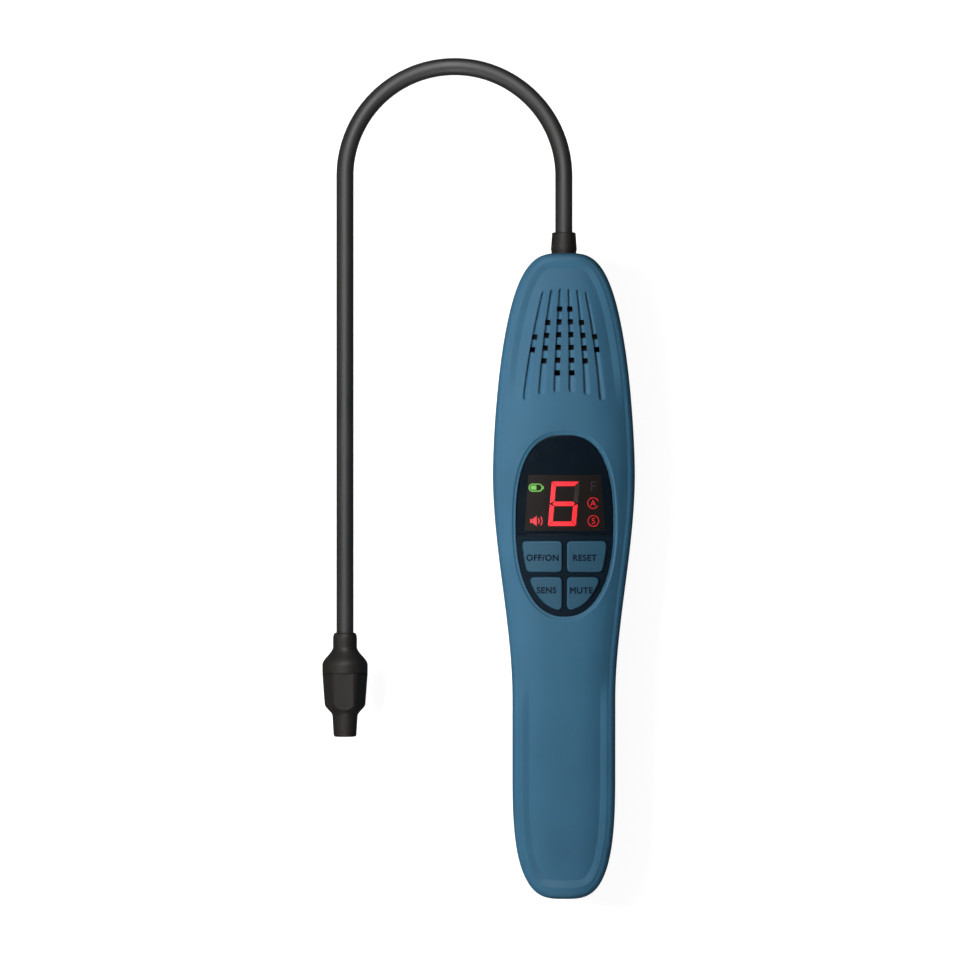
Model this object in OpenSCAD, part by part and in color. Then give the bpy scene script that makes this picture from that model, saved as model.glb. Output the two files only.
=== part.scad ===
// Hand-held refrigerant leak detector, lying on its back.
// The front faces +Z, the gooseneck leaves the nose along +Y, and the heel points to -Y.

/* [Body] */
// Length of the two shells from heel to nose
body_l = 225; // [215:1:245]
// Width across the grip
grip_w = 36; // [34:0.5:42]
// Width across the head at its widest
head_w = 49.7; // [48:0.1:58]
// Distance from the widest part of the head to the nose
nose_l = 77; // [70:1:82]
// Distance from the heel to the start of the swell from grip to head
swell_y = 69; // [60:1:80]
// Length of the rounded heel
heel_l = 45; // [36:1:55]
// Depth from the back to the flat of the front
body_d = 33; // [32:0.5:40]
// Depth of the rear shell
rear_d = 17; // [16.5:0.5:19]
// Wall of both shells
wall = 2; // [1.6:0.1:2.4]
// Rounding of the edge round the front
front_r = 2.4; // [2:0.1:3.5]
// Rounding of the edge round the back
back_r = 3.5; // [2.5:0.1:4]
// Height of the rim that frames the front at heel and nose
rim_h = 1; // [0.5:0.1:1.5]
// Fall of the front from the head to the heel
grip_fall = 3; // [0:0.5:5]
// Fall of the front from its middle to the side of the head
crown = 6; // [3:0.5:7]

/* [Panel] */
// Width of the oval panel
panel_w = 34; // [32:0.5:36]
// Height of the oval panel
panel_h = 63; // [60:0.5:66]
// Distance from the widest part of the head down to the panel centre
panel_drop = 18; // [15:0.5:21]
// Depth of the panel below the front
panel_sink = 0.9; // [0.5:0.1:1.4]
// Thickness of the display window and of the key bezel
panel_t = 1.7; // [1.4:0.1:2]
// Distance from the panel centre down to the seam between window and bezel
seam_drop = 3.2; // [2:0.1:5]
// Width of the soft edge round the panel
panel_edge = 1.2; // [0.6:0.1:1.6]

/* [Keys] */
// Gap between the keys
key_gap = 1.6; // [1.2:0.1:2.4]
// Height of the upper keys
key_h = 10.9; // [9:0.1:11.5]
// Margin between the keys and the rim of the panel
key_rim = 2.1; // [1.8:0.1:3]
// Corner radius of the keys
key_r = 1.5; // [0.8:0.1:2.5]
// Height of the keys above the bezel
key_rise = 0.7; // [0.7:0.1:1.2]
// Travel of a key
key_travel = 0.6; // [0.3:0.05:0.65]

/* [Grille] */
// Length of the middle grooves
groove_l = 35; // [28:0.5:37]
// Width of a groove at the nose end
groove_top_w = 0.9; // [0.7:0.1:1.4]
// Width of a groove at the panel end
groove_low_w = 2.7; // [1.8:0.1:3.2]
// Depth of a groove at its steep side
groove_d = 0.9; // [0.4:0.1:1]
// Groove spacing at the nose end
groove_top_pitch = 3; // [2.6:0.1:3.4]
// Groove spacing at the panel end
groove_low_pitch = 5.3; // [4.6:0.1:5.6]
// Distance from the nose to the top of the grooves
grille_setback = 13.4; // [12:0.1:15]
// Spacing of the sound holes along the grooves
hole_pitch = 4.43; // [3.6:0.01:4.8]
// Width of a sound hole
hole_w = 1.9; // [1.4:0.1:2.2]

/* [Gooseneck] */
// Visible length of the gooseneck from collar to tip
neck_l = 300; // [260:5:340]
// Outer diameter of the gooseneck sleeve
neck_d = 6; // [5.4:0.1:6.6]
// Radius of the bend at the middle of the neck
bend_r = 38.3; // [34:0.1:46]
// Distance from the nose to the start of the bend
neck_rise = 27.3; // [20:0.1:40]
// Length of the collar outside the body
collar_l = 7.5; // [6:0.1:12]
// Diameter of the collar at its foot
collar_d = 9.1; // [8.8:0.1:10.4]

/* [Tip] */
// Length of the tip
tip_l = 36.3; // [34:0.1:40]
// Diameter of the bead where the neck enters the tip
bead_d = 8.4; // [8:0.1:9.6]
// Diameter of the barrel of the tip at its shoulder
barrel_d = 15.9; // [15.4:0.1:18]
// Diameter of the nozzle at its end
nozzle_d = 8; // [7.6:0.1:9]
// Distance from the bead to the joint between holder and cover
cover_y = 14; // [13:0.1:15]
// Travel that takes the cover off the sensor
cover_travel = 22; // [15:1:30]

/* [Battery] */
// Diameter of a cell
cell_d = 10.5; // [10:0.1:10.8]
// Length of a cell with its terminal
cell_l = 44.5; // [42:0.1:46]
// Distance from the heel to the battery box
battery_y = 13; // [12.5:0.1:15]
// Length of a pressed contact spring
spring_l = 5; // [4:0.1:6]
// Width of the door's runner on each side
runner_w = 0.8; // [0.6:0.1:1]

/* [Hidden] */
$fn = 48;

// Colours
body_blue = [0.25, 0.43, 0.54];
key_blue = [0.21, 0.36, 0.45];
panel_navy = [0.07, 0.10, 0.14];
neck_black = [0.13, 0.12, 0.11];
board_green = [0.10, 0.33, 0.20];
steel = [0.70, 0.71, 0.72];
gold = [0.78, 0.64, 0.30];
cell_grey = [0.45, 0.46, 0.48];
part_black = [0.10, 0.10, 0.10];
felt_white = [0.85, 0.84, 0.80];

// Clearances
slide_gap = 0.3;
fit_gap = 0.1;
rest_gap = 0.15;
cut_past = 1;

// Outline of the body, as powers of its rounded ends
heel_p = 3;
heel_q = 3.3;
nose_p = 1.6;
nose_q = 3.5;
heel_steps = 10;
swell_steps = 12;
nose_steps = 12;
round_steps = 4;
side_draft = 0.3;
head_y = body_l - nose_l;

// Rim and fall of the front
rim_wall = 2.8;
rim_lip = 0.3;
rim_heel = 1.2;
grip_rim_past = 11;
grip_rim_y = swell_y + grip_rim_past;
grip_rim_fade = 14;
head_rim_past = 19;
head_rim_y = head_y + head_rim_past;
head_rim_fade = 18;
grip_fall_past = 26;
grip_fall_y = swell_y + grip_fall_past;
nose_fall = 1.5;
nose_fall_l = 13;
crown_p = 3;
crest_in = side_draft + front_r;
inner_edge = 1.2;
crown_steps = 8;

// Panel, crowned like the front, from its outline to the ledge that carries it
panel_y = head_y - panel_drop;
panel_dip = crown_drop(panel_w / 2, panel_y);
panel_crown_r = panel_w * panel_w / (8 * panel_dip) + panel_dip / 2;
panel_top_n = 2.6;
panel_low_n = 2.25;
panel_steps = 72;
ledge_w = 1.2;
ledge_t = 1.6;
panel_top_z = body_d - panel_sink;
panel_foot_z = panel_top_z - panel_t;
seam_y = -seam_drop;

// Battery box, its two lanes and the door under them
lane_gap = 0.6;
lane_x = (cell_d + lane_gap) / 2;
box_wall = 1.4;
box_side = 0.4;
box_half = cell_d + lane_gap + box_side;
contact_t = 0.5;
box_low_y = battery_y + box_wall;
contact_low_y = box_low_y + fit_gap;
lane_low_y = contact_low_y + contact_t;
lane_high_y = lane_low_y + 2 * cell_l + spring_l;
contact_high_y = lane_high_y;
box_high_y = contact_high_y + contact_t + fit_gap;
runner_t = 1.1;
runner_z = wall + rest_gap;
door_half = box_half - slide_gap - runner_w;
door_high_y = box_high_y - slide_gap;
door_z = rest_gap;
cell_low_z = runner_z + runner_t + 2 * slide_gap;
cell_z = cell_low_z + cell_d / 2;
box_top_z = cell_low_z + cell_d + slide_gap;
box_roof_z = box_top_z + box_wall;
terminal_d = 3.8;
terminal_h = 1;
contact_w = 8;
contact_tab_w = 3;
contact_tab_rise = 0.6;
contact_top_z = box_roof_z + contact_tab_rise;
lead_wire_d = 1.2;
spring_wire = 0.8;
spring_wide = 7.6;
spring_narrow = 5;
spring_turns = 3;
spring_sides = 6;
spring_steps = 14;
thumb_groove_count = 5;
thumb_groove_in = 6;
thumb_groove_w = 1;
thumb_groove_pitch = 2.2;
thumb_groove_l = 14;
thumb_groove_d = 0.5;

// Keys and the switches below them
key_head = 2;
key_top_y = seam_y - key_head;
key_mid_y = key_top_y - key_h - key_gap / 2;
key_flange = 0.5;
key_flange_t = 1;
key_flange_z = panel_foot_z - panel_dip - rest_gap - key_flange_t;
key_stem_d = 3.2;
key_x = 8;
key_row_offset = 5.6;
switch_w = 6;
switch_floor = 0.5;
plunger_d = 3.4;
plunger_low = switch_floor + key_travel + slide_gap;

// Main board, in the room between the battery box and the keys
board_t = 1.6;
board_w = 29;
board_below = 33;
board_above = 46;
board_over_box = 12;
board_low_y = min(panel_y - board_below, contact_high_y - board_over_box);
board_high_y = panel_y + board_above;
board_r = 2;
board_screw_x = 11.5;
board_screw_low = 4;
board_screw_high = 6;
board_screw_ys = [board_low_y + board_screw_low, board_high_y - board_screw_high];
board_post_d = 4.6;
board_screw_d = 1.8;
board_head_d = 3.8;
board_head_h = 1.4;
board_bite = 4;

// What that room leaves free is shared by the gap under the screws, the plungers and the stems of the keys
free_h = key_flange_z - box_roof_z - board_head_h - board_t - plunger_low;
board_share = 0.29;
plunger_share = 0.47;
board_z = box_roof_z + board_head_h + board_share * free_h;
board_top_z = board_z + board_t;
plunger_h = plunger_share * free_h;
plunger_z = board_top_z + plunger_low;
plunger_top_z = plunger_z + plunger_h;
switch_h = plunger_low + 0.6 * plunger_h;

// Display module behind the window
display_side = 3.5;
display_w = panel_w - 2 * display_side;
display_h = 21;
display_rise = 8;
display_y = panel_y + display_rise;
display_lip = 0.6;
display_lip_z = 2;
display_step = 1;
display_back_w = display_w - 2 * display_step;
display_back_h = display_h - 2 * display_step;

// Screws that hold the shells together
screw_x = 11;
screw_setback = 21;
screw_inset = 6.3;
screw_spots = [[screw_x, body_l - screw_setback], [head_w / 2 - screw_inset, head_y]];
screw_d = 2.2;
screw_head_d = 4.8;
screw_head_h = 2;
screw_seat_z = 9;
screw_l = 15;
front_post_d = 4.8;
rear_post_d = 7.4;

// Grille
groove_count = 6;
groove_mid = (groove_count - 1) / 2;
groove_steps = 5;
groove_sway = 0.24;
groove_top_bow = 0.17;
groove_low_bow = 0.45;
grille_top_y = body_l - grille_setback;
grille_low_y = grille_top_y - groove_l;
hole_rows = [2, 4, 6, 6, 4, 2];
hole_first = 6.4;
hole_bow = 0.13;

// Sounder behind the grille
sounder_d = 22;
sounder_h = 5;
sounder_y = grille_top_y - groove_l / 2;
sounder_port_d = 5;
sounder_top_z = front_z(sounder_d / 2, sounder_y) - wall - fit_gap;
ring_t = 1;

// Gooseneck, as the line of its middle
neck_z = rear_d;
neck_wall = 0.8;
core_d = neck_d - 2 * neck_wall - 2 * fit_gap;
core_bore = 2.4;
lead_d = 2;
bend_y = body_l + neck_rise;
neck_far_x = -2 * bend_r;
tip_y = bend_y - (neck_l - (neck_rise - collar_l) - PI * bend_r);
collar_top_d = collar_d - 0.8;
collar_stem_d = collar_d - 0.1;
collar_neck_d = collar_d - 0.4;
collar_neck_l = 1.2;
collar_flange_d = collar_d + 2.9;
collar_flange_in = 1.2;
collar_flange_y = -wall - collar_flange_in;
collar_flange_t = 2.4;
anchor_d = neck_d + 2.4;
anchor_l = 9;
anchor_low_y = collar_flange_y - collar_flange_t - anchor_l;

// Tip, measured along its axis from the bead
bead_l = 4.9;
bead_round = 0.8;
bead_round_l = 2;
shoulder_y = 11.2;
flare_y = tip_l - 11.5;
flare_l = 4.4;
barrel_end_d = barrel_d - 1.6;
nozzle_top_d = nozzle_d + 0.8;
nozzle_bore = nozzle_d - 2.4;
nozzle_round = 0.5;
chamber_d = barrel_d - 4.4;
chamber_end_y = flare_y - 0.2;
spigot_d = chamber_d - 2 * slide_gap;
spigot_l = 5;
spigot_wall = 1;
neck_in_tip = 8.6;
socket_y = 10.9;
socket_l = 4.6;
socket_d = spigot_d - 2 * spigot_wall - 2 * fit_gap;
can_d = socket_d - 1;
can_l = 8;
can_rim = 0.8;
scallop_count = 6;
scallop_r = 40;
scallop_deep = 0.8;
scallop_l = 8.2;
barrel_lean = atan((barrel_d - barrel_end_d) / 2 / (flare_y - cover_y));
filter_t = 1.6;
filter_in = 2;
ease_steps = 8;

// Lead connector under the board
connector_w = 7;
connector_l = 7;
connector_drop = 2.5;
connector_in = 1;

function mix(a, b, t) = a + (b - a) * t;
function ease(t) = let (u = min(1, max(0, t))) u * u * (3 - 2 * u);
function unit(v) = v / norm(v);

// Right-hand edge of the outline from the middle of the heel to the middle of the nose
function half_width(y) = mix(grip_w, head_w, ease((y - swell_y) / (head_y - swell_y))) / 2;
function width_at(y) = y < heel_l ? grip_w / 2 * pow(1 - pow((heel_l - y) / heel_l, heel_p), 1 / heel_q)
    : y > head_y ? head_w / 2 * pow(1 - pow((y - head_y) / nose_l, nose_p), 1 / nose_q)
    : half_width(y);
heel_edge = [
    for (i = [0 : heel_steps])
        let (a = 90 * i / heel_steps)
            [grip_w / 2 * pow(sin(a), 2 / heel_q), heel_l * (1 - pow(cos(a), 2 / heel_p))]
];
swell_edge = [
    for (i = [1 : swell_steps - 1])
        let (y = mix(heel_l, head_y, i / swell_steps)) [half_width(y), y]
];
nose_edge = [
    for (i = [0 : nose_steps])
        let (a = 90 - 90 * i / nose_steps)
            [head_w / 2 * pow(sin(a), 2 / nose_q), head_y + nose_l * pow(cos(a), 2 / nose_p)]
];
edge = concat(heel_edge, swell_edge, nose_edge);
edge_end = len(edge) - 1;
edge_out = [
    for (i = [0 : edge_end])
        let (t = unit(edge[min(i + 1, edge_end)] - edge[max(i - 1, 0)]))
            i == 0 ? [0, -1] : i == edge_end ? [0, 1] : [t.y, -t.x]
];

// Drop of the front and height of its rim at a distance from the heel
function fall(y) = -grip_fall * ease((grip_fall_y - y) / grip_fall_y)
    - nose_fall * ease((y - body_l + nose_fall_l) / nose_fall_l);
function rim(y) = rim_h * (ease((grip_rim_y - y) / grip_rim_fade) + ease((y - head_rim_y) / head_rim_fade));

// Drop of the crowned front to the side, and height of the front without its rim
function crown_drop(x, y) = let (w = width_at(y)) crown * 2 * w / head_w * pow(abs(x) / w, crown_p);
function front_z(x, y) = body_d + fall(y) - crown_drop(x, y);

// A layer is [inset from the outline, height, share of the front's form, share of the rim]
// Inside the rim's lip the inset grows towards the middle of the heel, when the layer asks for it
function layer_inset(i, layer) = layer[0] + (len(layer) > 4 ? layer[4] * pow(max(0, -edge_out[i].y), 2) : 0);
function layer_point(i, layer) =
    let (
        inset = layer_inset(i, layer),
        p = edge[i] - inset * edge_out[i],
        q = edge[i] - max(inset, crest_in) * edge_out[i]
    )
        [p.x, p.y, layer[1] + layer[2] * (front_z(q.x, q.y) - body_d) + layer[3] * rim(q.y)];
function layer_ring(layer) = concat(
    [for (i = [0 : edge_end]) layer_point(i, layer)],
    [for (i = [edge_end - 1 : -1 : 1]) let (p = layer_point(i, layer)) [-p.x, p.y, p.z]]
);

// Solid through a stack of layers, from the lowest to the highest, under a flat or a crowned lid
module loft(layers, crowned_lid = false) {
    count = 2 * edge_end;
    top = (len(layers) - 1) * count;
    last = layers[len(layers) - 1];
    lid_points = [
        for (i = [1 : edge_end - 1], j = [1 : crown_steps - 1])
            let (p = layer_point(i, last), x = p.x * (2 * j / crown_steps - 1))
                [x, p.y, last[1] + last[2] * (front_z(x, p.y) - body_d)]
    ];
    function lid_index(i, j) = i == 0 || i == edge_end || j == crown_steps ? top + i
        : j == 0 ? top + count - i
        : top + count + (i - 1) * (crown_steps - 1) + j - 1;
    points = concat([for (layer = layers) each layer_ring(layer)], crowned_lid ? lid_points : []);
    sides = [
        for (k = [0 : len(layers) - 2], i = [0 : count - 1])
            let (a = k * count + i, b = k * count + (i + 1) % count)
                each [[a, a + count, b], [b, a + count, b + count]]
    ];
    foot = [
        for (i = [0 : edge_end - 1])
            let (a = (count - i) % count, b = count - i - 1)
                i == 0 ? [0, 1, b] : i == edge_end - 1 ? [i, i + 1, a] : [i, i + 1, b, a]
    ];
    flat_lid = [for (face = foot) [for (j = [len(face) - 1 : -1 : 0]) face[j] + top]];
    crowned_faces = [
        for (i = [0 : edge_end - 1], j = [0 : crown_steps - 1])
            let (
                a = lid_index(i, j),
                b = lid_index(i, j + 1),
                c = lid_index(i + 1, j + 1),
                d = lid_index(i + 1, j)
            ) each [if (c != d) [a, d, c], if (a != b) [a, c, b]]
    ];
    polyhedron(points, concat(foot, sides, crowned_lid ? crowned_faces : flat_lid), convexity = 8);
}

front_outer = concat(
    [[0, rear_d, 0, 0]],
    [
        for (j = [0 : round_steps])
            let (a = 90 * j / round_steps)
                [crest_in - front_r * cos(a), body_d - front_r * (1 - sin(a)), 1, 1]
    ],
    [
        [crest_in + rim_lip, body_d, 1, 1, rim_heel],
        [crest_in + rim_lip + rim_wall / 2, body_d, 1, 0.5, rim_heel],
        [crest_in + rim_lip + rim_wall, body_d, 1, 0, rim_heel]
    ]
);
front_inner = [
    [wall, rear_d - cut_past, 0, 0],
    [wall + side_draft, body_d - wall - inner_edge, 1, 0],
    [wall + side_draft + inner_edge, body_d - wall, 1, 0]
];
rear_outer = concat(
    [
        for (j = [0 : round_steps])
            let (a = 90 * j / round_steps)
                [side_draft + back_r * (1 - sin(a)), back_r * (1 - cos(a)), 0, 0]
    ],
    [[0, rear_d, 0, 0]]
);
rear_inner = [
    [wall + side_draft + inner_edge, wall, 0, 0],
    [wall + side_draft, wall + inner_edge, 0, 0],
    [wall, rear_d + cut_past, 0, 0]
];

// The origin is on the back, behind the middle of the panel
module place() {
    translate([0, -panel_y, 0]) children();
}

module mirrored() {
    for (side = [-1, 1]) scale_x(side) children();
}

module scale_x(side) {
    if (side < 0) mirror([1, 0, 0]) children();
    else children();
}

// A block given by its lowest and highest corners
module block(low, high) {
    translate(low) cube(high - low);
}

// Axis along +Y, from a distance behind the nose
module along_neck(y) {
    translate([0, body_l + y, neck_z]) rotate([-90, 0, 0]) children();
}

// Axis from the bead to the end of the nozzle
module along_tip() {
    translate([neck_far_x, tip_y, neck_z]) rotate([90, 0, 0]) children();
}

module collar_bore() {
    deep = wall + 2 * cut_past;
    along_neck(-deep) cylinder(d = collar_stem_d + 2 * rest_gap, h = deep + cut_past);
}

function panel_point(a, grow) =
    let (n = sin(a) >= 0 ? panel_top_n : panel_low_n, c = cos(a), s = sin(a))
        [
            (panel_w / 2 + grow) * sign(c) * pow(abs(c), 2 / n),
            (panel_h / 2 + grow) * sign(s) * pow(abs(s), 2 / n)
        ];

module oval(grow) {
    polygon([for (i = [0 : panel_steps - 1]) panel_point(360 * i / panel_steps, grow)]);
}

module panel_place(z) {
    translate([0, panel_y, z]) children();
}

// Everything under the panel's crown when its middle is at a height
module under_crown(z) {
    translate([0, panel_y - panel_h, z - panel_crown_r]) rotate([-90, 0, 0])
        cylinder(r = panel_crown_r, h = 2 * panel_h, $fn = 240);
}

// A crowned plate between two heights, cut to a shape
module crowned_plate(low, high) {
    difference() {
        intersection() {
            panel_place(rear_d) linear_extrude(body_d) children();
            under_crown(high);
        }
        under_crown(low);
    }
}

// Frame under the panel, and the pocket, soft edge and opening cut into it
module panel_frame() {
    crowned_plate(panel_foot_z - ledge_t, body_d - wall / 2) oval(ledge_w);
}

module panel_soft_edge() {
    function lip(a, grow, lift) =
        let (p = panel_point(a, grow)) [p.x, p.y, front_z(p.x, panel_y + p.y) + lift];
    turns = [for (i = [0 : panel_steps - 1]) 360 * i / panel_steps];
    points = concat(
        [for (a = turns) lip(a, -fit_gap, -panel_sink)],
        [for (a = turns) lip(a, panel_edge, fit_gap)],
        [for (a = turns) let (p = panel_point(a, panel_edge)) [p.x, p.y, body_d + cut_past]],
        [[0, 0, body_d - panel_sink], [0, 0, body_d + cut_past]]
    );
    n = panel_steps;
    faces = [
        for (a = [0 : n - 1])
            let (b = (a + 1) % n)
                each [
                    [a, a + n, b], [b, a + n, b + n], [a + n, a + 2 * n, b + n], [b + n, a + 2 * n, b + 2 * n],
                    [a, b, 3 * n], [b + 2 * n, a + 2 * n, 3 * n + 1]
                ]
    ];
    panel_place(0) polyhedron(points, faces, convexity = 4);
}

module panel_cut() {
    difference() {
        panel_place(rear_d) linear_extrude(body_d) oval(0);
        under_crown(panel_foot_z);
    }
    panel_place(rear_d) linear_extrude(body_d) oval(-ledge_w);
    panel_soft_edge();
}

// Middle of a groove, counted from the middle of the grille, at a share of its length from the nose end
function groove_at(c, t) = [
    c * (mix(groove_top_pitch, groove_low_pitch, t) + 4 * groove_sway * t * (1 - t)),
    mix(grille_top_y - groove_top_bow * c * c, grille_low_y - groove_low_bow * c * c, t)
];
function groove_out(c, t) = let (v = unit(groove_at(c, t - 0.01) - groove_at(c, t + 0.01))) [v.y, -v.x];

// A groove widens from the nose end, with a steep left side and a floor that rises to the right
module groove(c) {
    function above(p, lift) = [p.x, p.y, front_z(p.x, p.y) + lift];
    function section(t) =
        let (
            half = mix(groove_top_w, groove_low_w, t) / 2 * groove_out(c, t),
            left = groove_at(c, t) - half,
            right = groove_at(c, t) + half
        ) [above(left, cut_past), above(left, -groove_d), above(right, 0), above(right, cut_past)];
    points = [for (k = [0 : groove_steps]) each section(k / groove_steps)];
    sides = [
        for (k = [0 : groove_steps - 1], i = [0 : 3])
            let (a = 4 * k + i, b = 4 * k + (i + 1) % 4) each [[a, a + 4, b], [b, a + 4, b + 4]]
    ];
    last = 4 * groove_steps;
    polyhedron(points, concat([[0, 1, 2, 3]], sides, [[last + 3, last + 2, last + 1, last]]), convexity = 4);
}

module sound_hole(c, row) {
    y = grille_top_y - hole_first - row * hole_pitch - hole_bow * c * c;
    t = (groove_at(c, 0).y - y) / (groove_at(c, 0).y - groove_at(c, 1).y);
    p = groove_at(c, t);
    out = groove_out(c, t);
    translate([p.x, p.y, front_z(p.x, p.y) - wall - cut_past])
        rotate(atan2(out.y, out.x))
            translate([-hole_w / 2, -hole_w / 2, 0]) cube([hole_w, hole_w, wall + 2 * cut_past]);
}

module grille_cut() {
    for (k = [0 : groove_count - 1]) groove(k - groove_mid);
    for (row = [0 : len(hole_rows) - 1], k = [0 : groove_count - 1])
        if (abs(k - groove_mid) < hole_rows[row] / 2) sound_hole(k - groove_mid, row);
}

// Middle of the front's wall over a spot
function post_top(x, y) = front_z(x, y) - wall / 2;

module front_posts() {
    mirrored() {
        for (p = screw_spots)
            translate([p.x, p.y, rear_d]) cylinder(d = front_post_d, h = post_top(p.x, p.y) - rear_d);
        for (y = board_screw_ys)
            translate([board_screw_x, y, board_top_z])
                cylinder(d = board_post_d, h = post_top(board_screw_x, y) - board_top_z);
    }
    translate([0, sounder_y, sounder_top_z - sounder_h]) difference() {
        cylinder(d = sounder_d + 2 * fit_gap + 2 * ring_t, h = sounder_h + wall);
        translate([0, 0, -cut_past]) cylinder(d = sounder_d + 2 * fit_gap, h = sounder_h + wall + 2 * cut_past);
    }
}

module front_pilots() {
    mirrored() {
        for (p = screw_spots)
            translate([p.x, p.y, rear_d - cut_past])
                cylinder(d = screw_d + 2 * fit_gap, h = screw_seat_z + screw_l - rear_d + 2 * cut_past);
        for (y = board_screw_ys)
            translate([board_screw_x, y, board_top_z - cut_past])
                cylinder(d = board_screw_d + 2 * fit_gap, h = board_bite + 2 * cut_past);
    }
}

module front_shell() {
    color(body_blue) place() difference() {
        union() {
            difference() {
                loft(front_outer, crowned_lid = true);
                loft(front_inner, crowned_lid = true);
            }
            panel_frame();
            front_posts();
        }
        panel_cut();
        grille_cut();
        front_pilots();
        collar_bore();
    }
}

module battery_box() {
    block([-box_half - box_wall, battery_y, wall / 2],
        [box_half + box_wall, box_high_y + box_wall, box_roof_z]);
}

module battery_room() {
    block([-box_half, box_low_y, wall - fit_gap], [box_half, box_high_y, box_top_z]);
    block([-door_half - slide_gap, -cut_past, -cut_past], [door_half + slide_gap, box_high_y, wall + cut_past]);
    block([-box_half, -cut_past, wall - fit_gap], [box_half, box_high_y, runner_z + runner_t + slide_gap]);
    mirrored()
        block([lane_x - contact_tab_w / 2 - fit_gap, contact_high_y - fit_gap, box_top_z - cut_past],
            [lane_x + contact_tab_w / 2 + fit_gap, box_high_y, box_roof_z + cut_past]);
}

module rear_shell() {
    color(body_blue) place() difference() {
        union() {
            difference() {
                loft(rear_outer);
                loft(rear_inner);
            }
            battery_box();
            mirrored()
                for (p = screw_spots)
                    translate([p.x, p.y, wall / 2]) cylinder(d = rear_post_d, h = rear_d - wall / 2);
        }
        battery_room();
        mirrored()
            for (p = screw_spots) translate([p.x, p.y, -cut_past]) {
                cylinder(d = screw_head_d + 2 * slide_gap, h = screw_seat_z + cut_past);
                cylinder(d = screw_d + 2 * slide_gap, h = rear_d + 2 * cut_past);
            }
        collar_bore();
    }
}

module shell_screws() {
    color(steel) place() mirrored()
        for (p = screw_spots) translate([p.x, p.y, screw_seat_z]) {
            translate([0, 0, -screw_head_h]) cylinder(d = screw_head_d, h = screw_head_h);
            cylinder(d = screw_d, h = screw_l);
        }
}

module battery_door() {
    color(body_blue) place() difference() {
        intersection() {
            loft(rear_outer);
            union() {
                block([-door_half, -cut_past, door_z], [door_half, door_high_y, runner_z + fit_gap]);
                block([-door_half - runner_w, -cut_past, runner_z],
                    [door_half + runner_w, door_high_y, runner_z + runner_t]);
            }
        }
        for (i = [0 : thumb_groove_count - 1])
            let (y = door_high_y - thumb_groove_in - i * thumb_groove_pitch)
                translate([-thumb_groove_l / 2, y, door_z - cut_past])
                    cube([thumb_groove_l, thumb_groove_w, thumb_groove_d + cut_past]);
    }
}

// A cell with its terminal towards +Y
module cell() {
    rotate([-90, 0, 0]) {
        cylinder(d = cell_d, h = cell_l - terminal_h);
        cylinder(d = terminal_d, h = cell_l);
    }
}

// Left lane points to the nose and right lane to the heel, with a spring behind each
module battery_cell(lane, row) {
    color(cell_grey) place() {
        if (lane < 0) translate([-lane_x, lane_low_y + spring_l + row * cell_l, cell_z]) cell();
        else translate([lane_x, lane_low_y + (row + 1) * cell_l, cell_z]) rotate(180) cell();
    }
}

module battery_contacts() {
    color(steel) place() {
        block([-lane_x - contact_w / 2, contact_low_y, cell_z - contact_w / 2],
            [lane_x + contact_w / 2, contact_low_y + contact_t, cell_z + contact_w / 2]);
        mirrored() {
            block([lane_x - contact_w / 2, contact_high_y, cell_z - contact_w / 2],
                [lane_x + contact_w / 2, contact_high_y + contact_t, cell_z + contact_w / 2]);
            block([lane_x - contact_tab_w / 2, contact_high_y, cell_z],
                [lane_x + contact_tab_w / 2, contact_high_y + contact_t, contact_top_z]);
        }
    }
}

// Conical spring along +Y, wide at its foot
module spring() {
    steps = spring_turns * spring_steps;
    low = spring_wire / 2 + fit_gap / 2;
    function middle(t) =
        let (a = 360 * spring_turns * t, r = mix(spring_wide, spring_narrow, t) / 2 - spring_wire / 2)
            [r * cos(a), mix(low, spring_l - low, t), r * sin(a)];
    points = [
        for (i = [0 : steps], j = [0 : spring_sides - 1])
            let (
                t = i / steps,
                a = 360 * spring_turns * t,
                b = 360 * j / spring_sides,
                out = [cos(a), 0, sin(a)]
            ) middle(t) + spring_wire / 2 * (cos(b) * out + sin(b) * [0, 1, 0])
    ];
    sides = [
        for (i = [0 : steps - 1], j = [0 : spring_sides - 1])
            let (a = i * spring_sides + j, b = i * spring_sides + (j + 1) % spring_sides)
                each [[a, b, a + spring_sides], [b, b + spring_sides, a + spring_sides]]
    ];
    foot = [[for (j = [spring_sides - 1 : -1 : 0]) j]];
    tail = [[for (j = [0 : spring_sides - 1]) steps * spring_sides + j]];
    polyhedron(points, concat(foot, sides, tail), convexity = 8);
}

module battery_springs() {
    color(steel) place() {
        translate([-lane_x, lane_low_y, cell_z]) spring();
        translate([lane_x, contact_high_y, cell_z]) rotate(180) spring();
    }
}

module battery_leads() {
    color("crimson") place() mirrored()
        translate([lane_x, contact_high_y + contact_t / 2, contact_top_z])
            cylinder(d = lead_wire_d, h = board_z - contact_top_z);
}

module main_board() {
    color(board_green) place() difference() {
        translate([0, 0, board_z]) linear_extrude(board_t)
            hull() mirrored()
                for (y = [board_low_y + board_r, board_high_y - board_r])
                    translate([board_w / 2 - board_r, y]) circle(r = board_r, $fn = 32);
        mirrored()
            for (y = board_screw_ys)
                translate([board_screw_x, y, board_z - cut_past])
                    cylinder(d = board_screw_d + 2 * fit_gap, h = board_t + 2 * cut_past);
    }
}

module board_screws() {
    color(steel) place() mirrored()
        for (y = board_screw_ys) translate([board_screw_x, y, board_z - board_head_h]) {
            cylinder(d = board_head_d, h = board_head_h);
            cylinder(d = board_screw_d, h = board_head_h + board_t + board_bite);
        }
}

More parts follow.
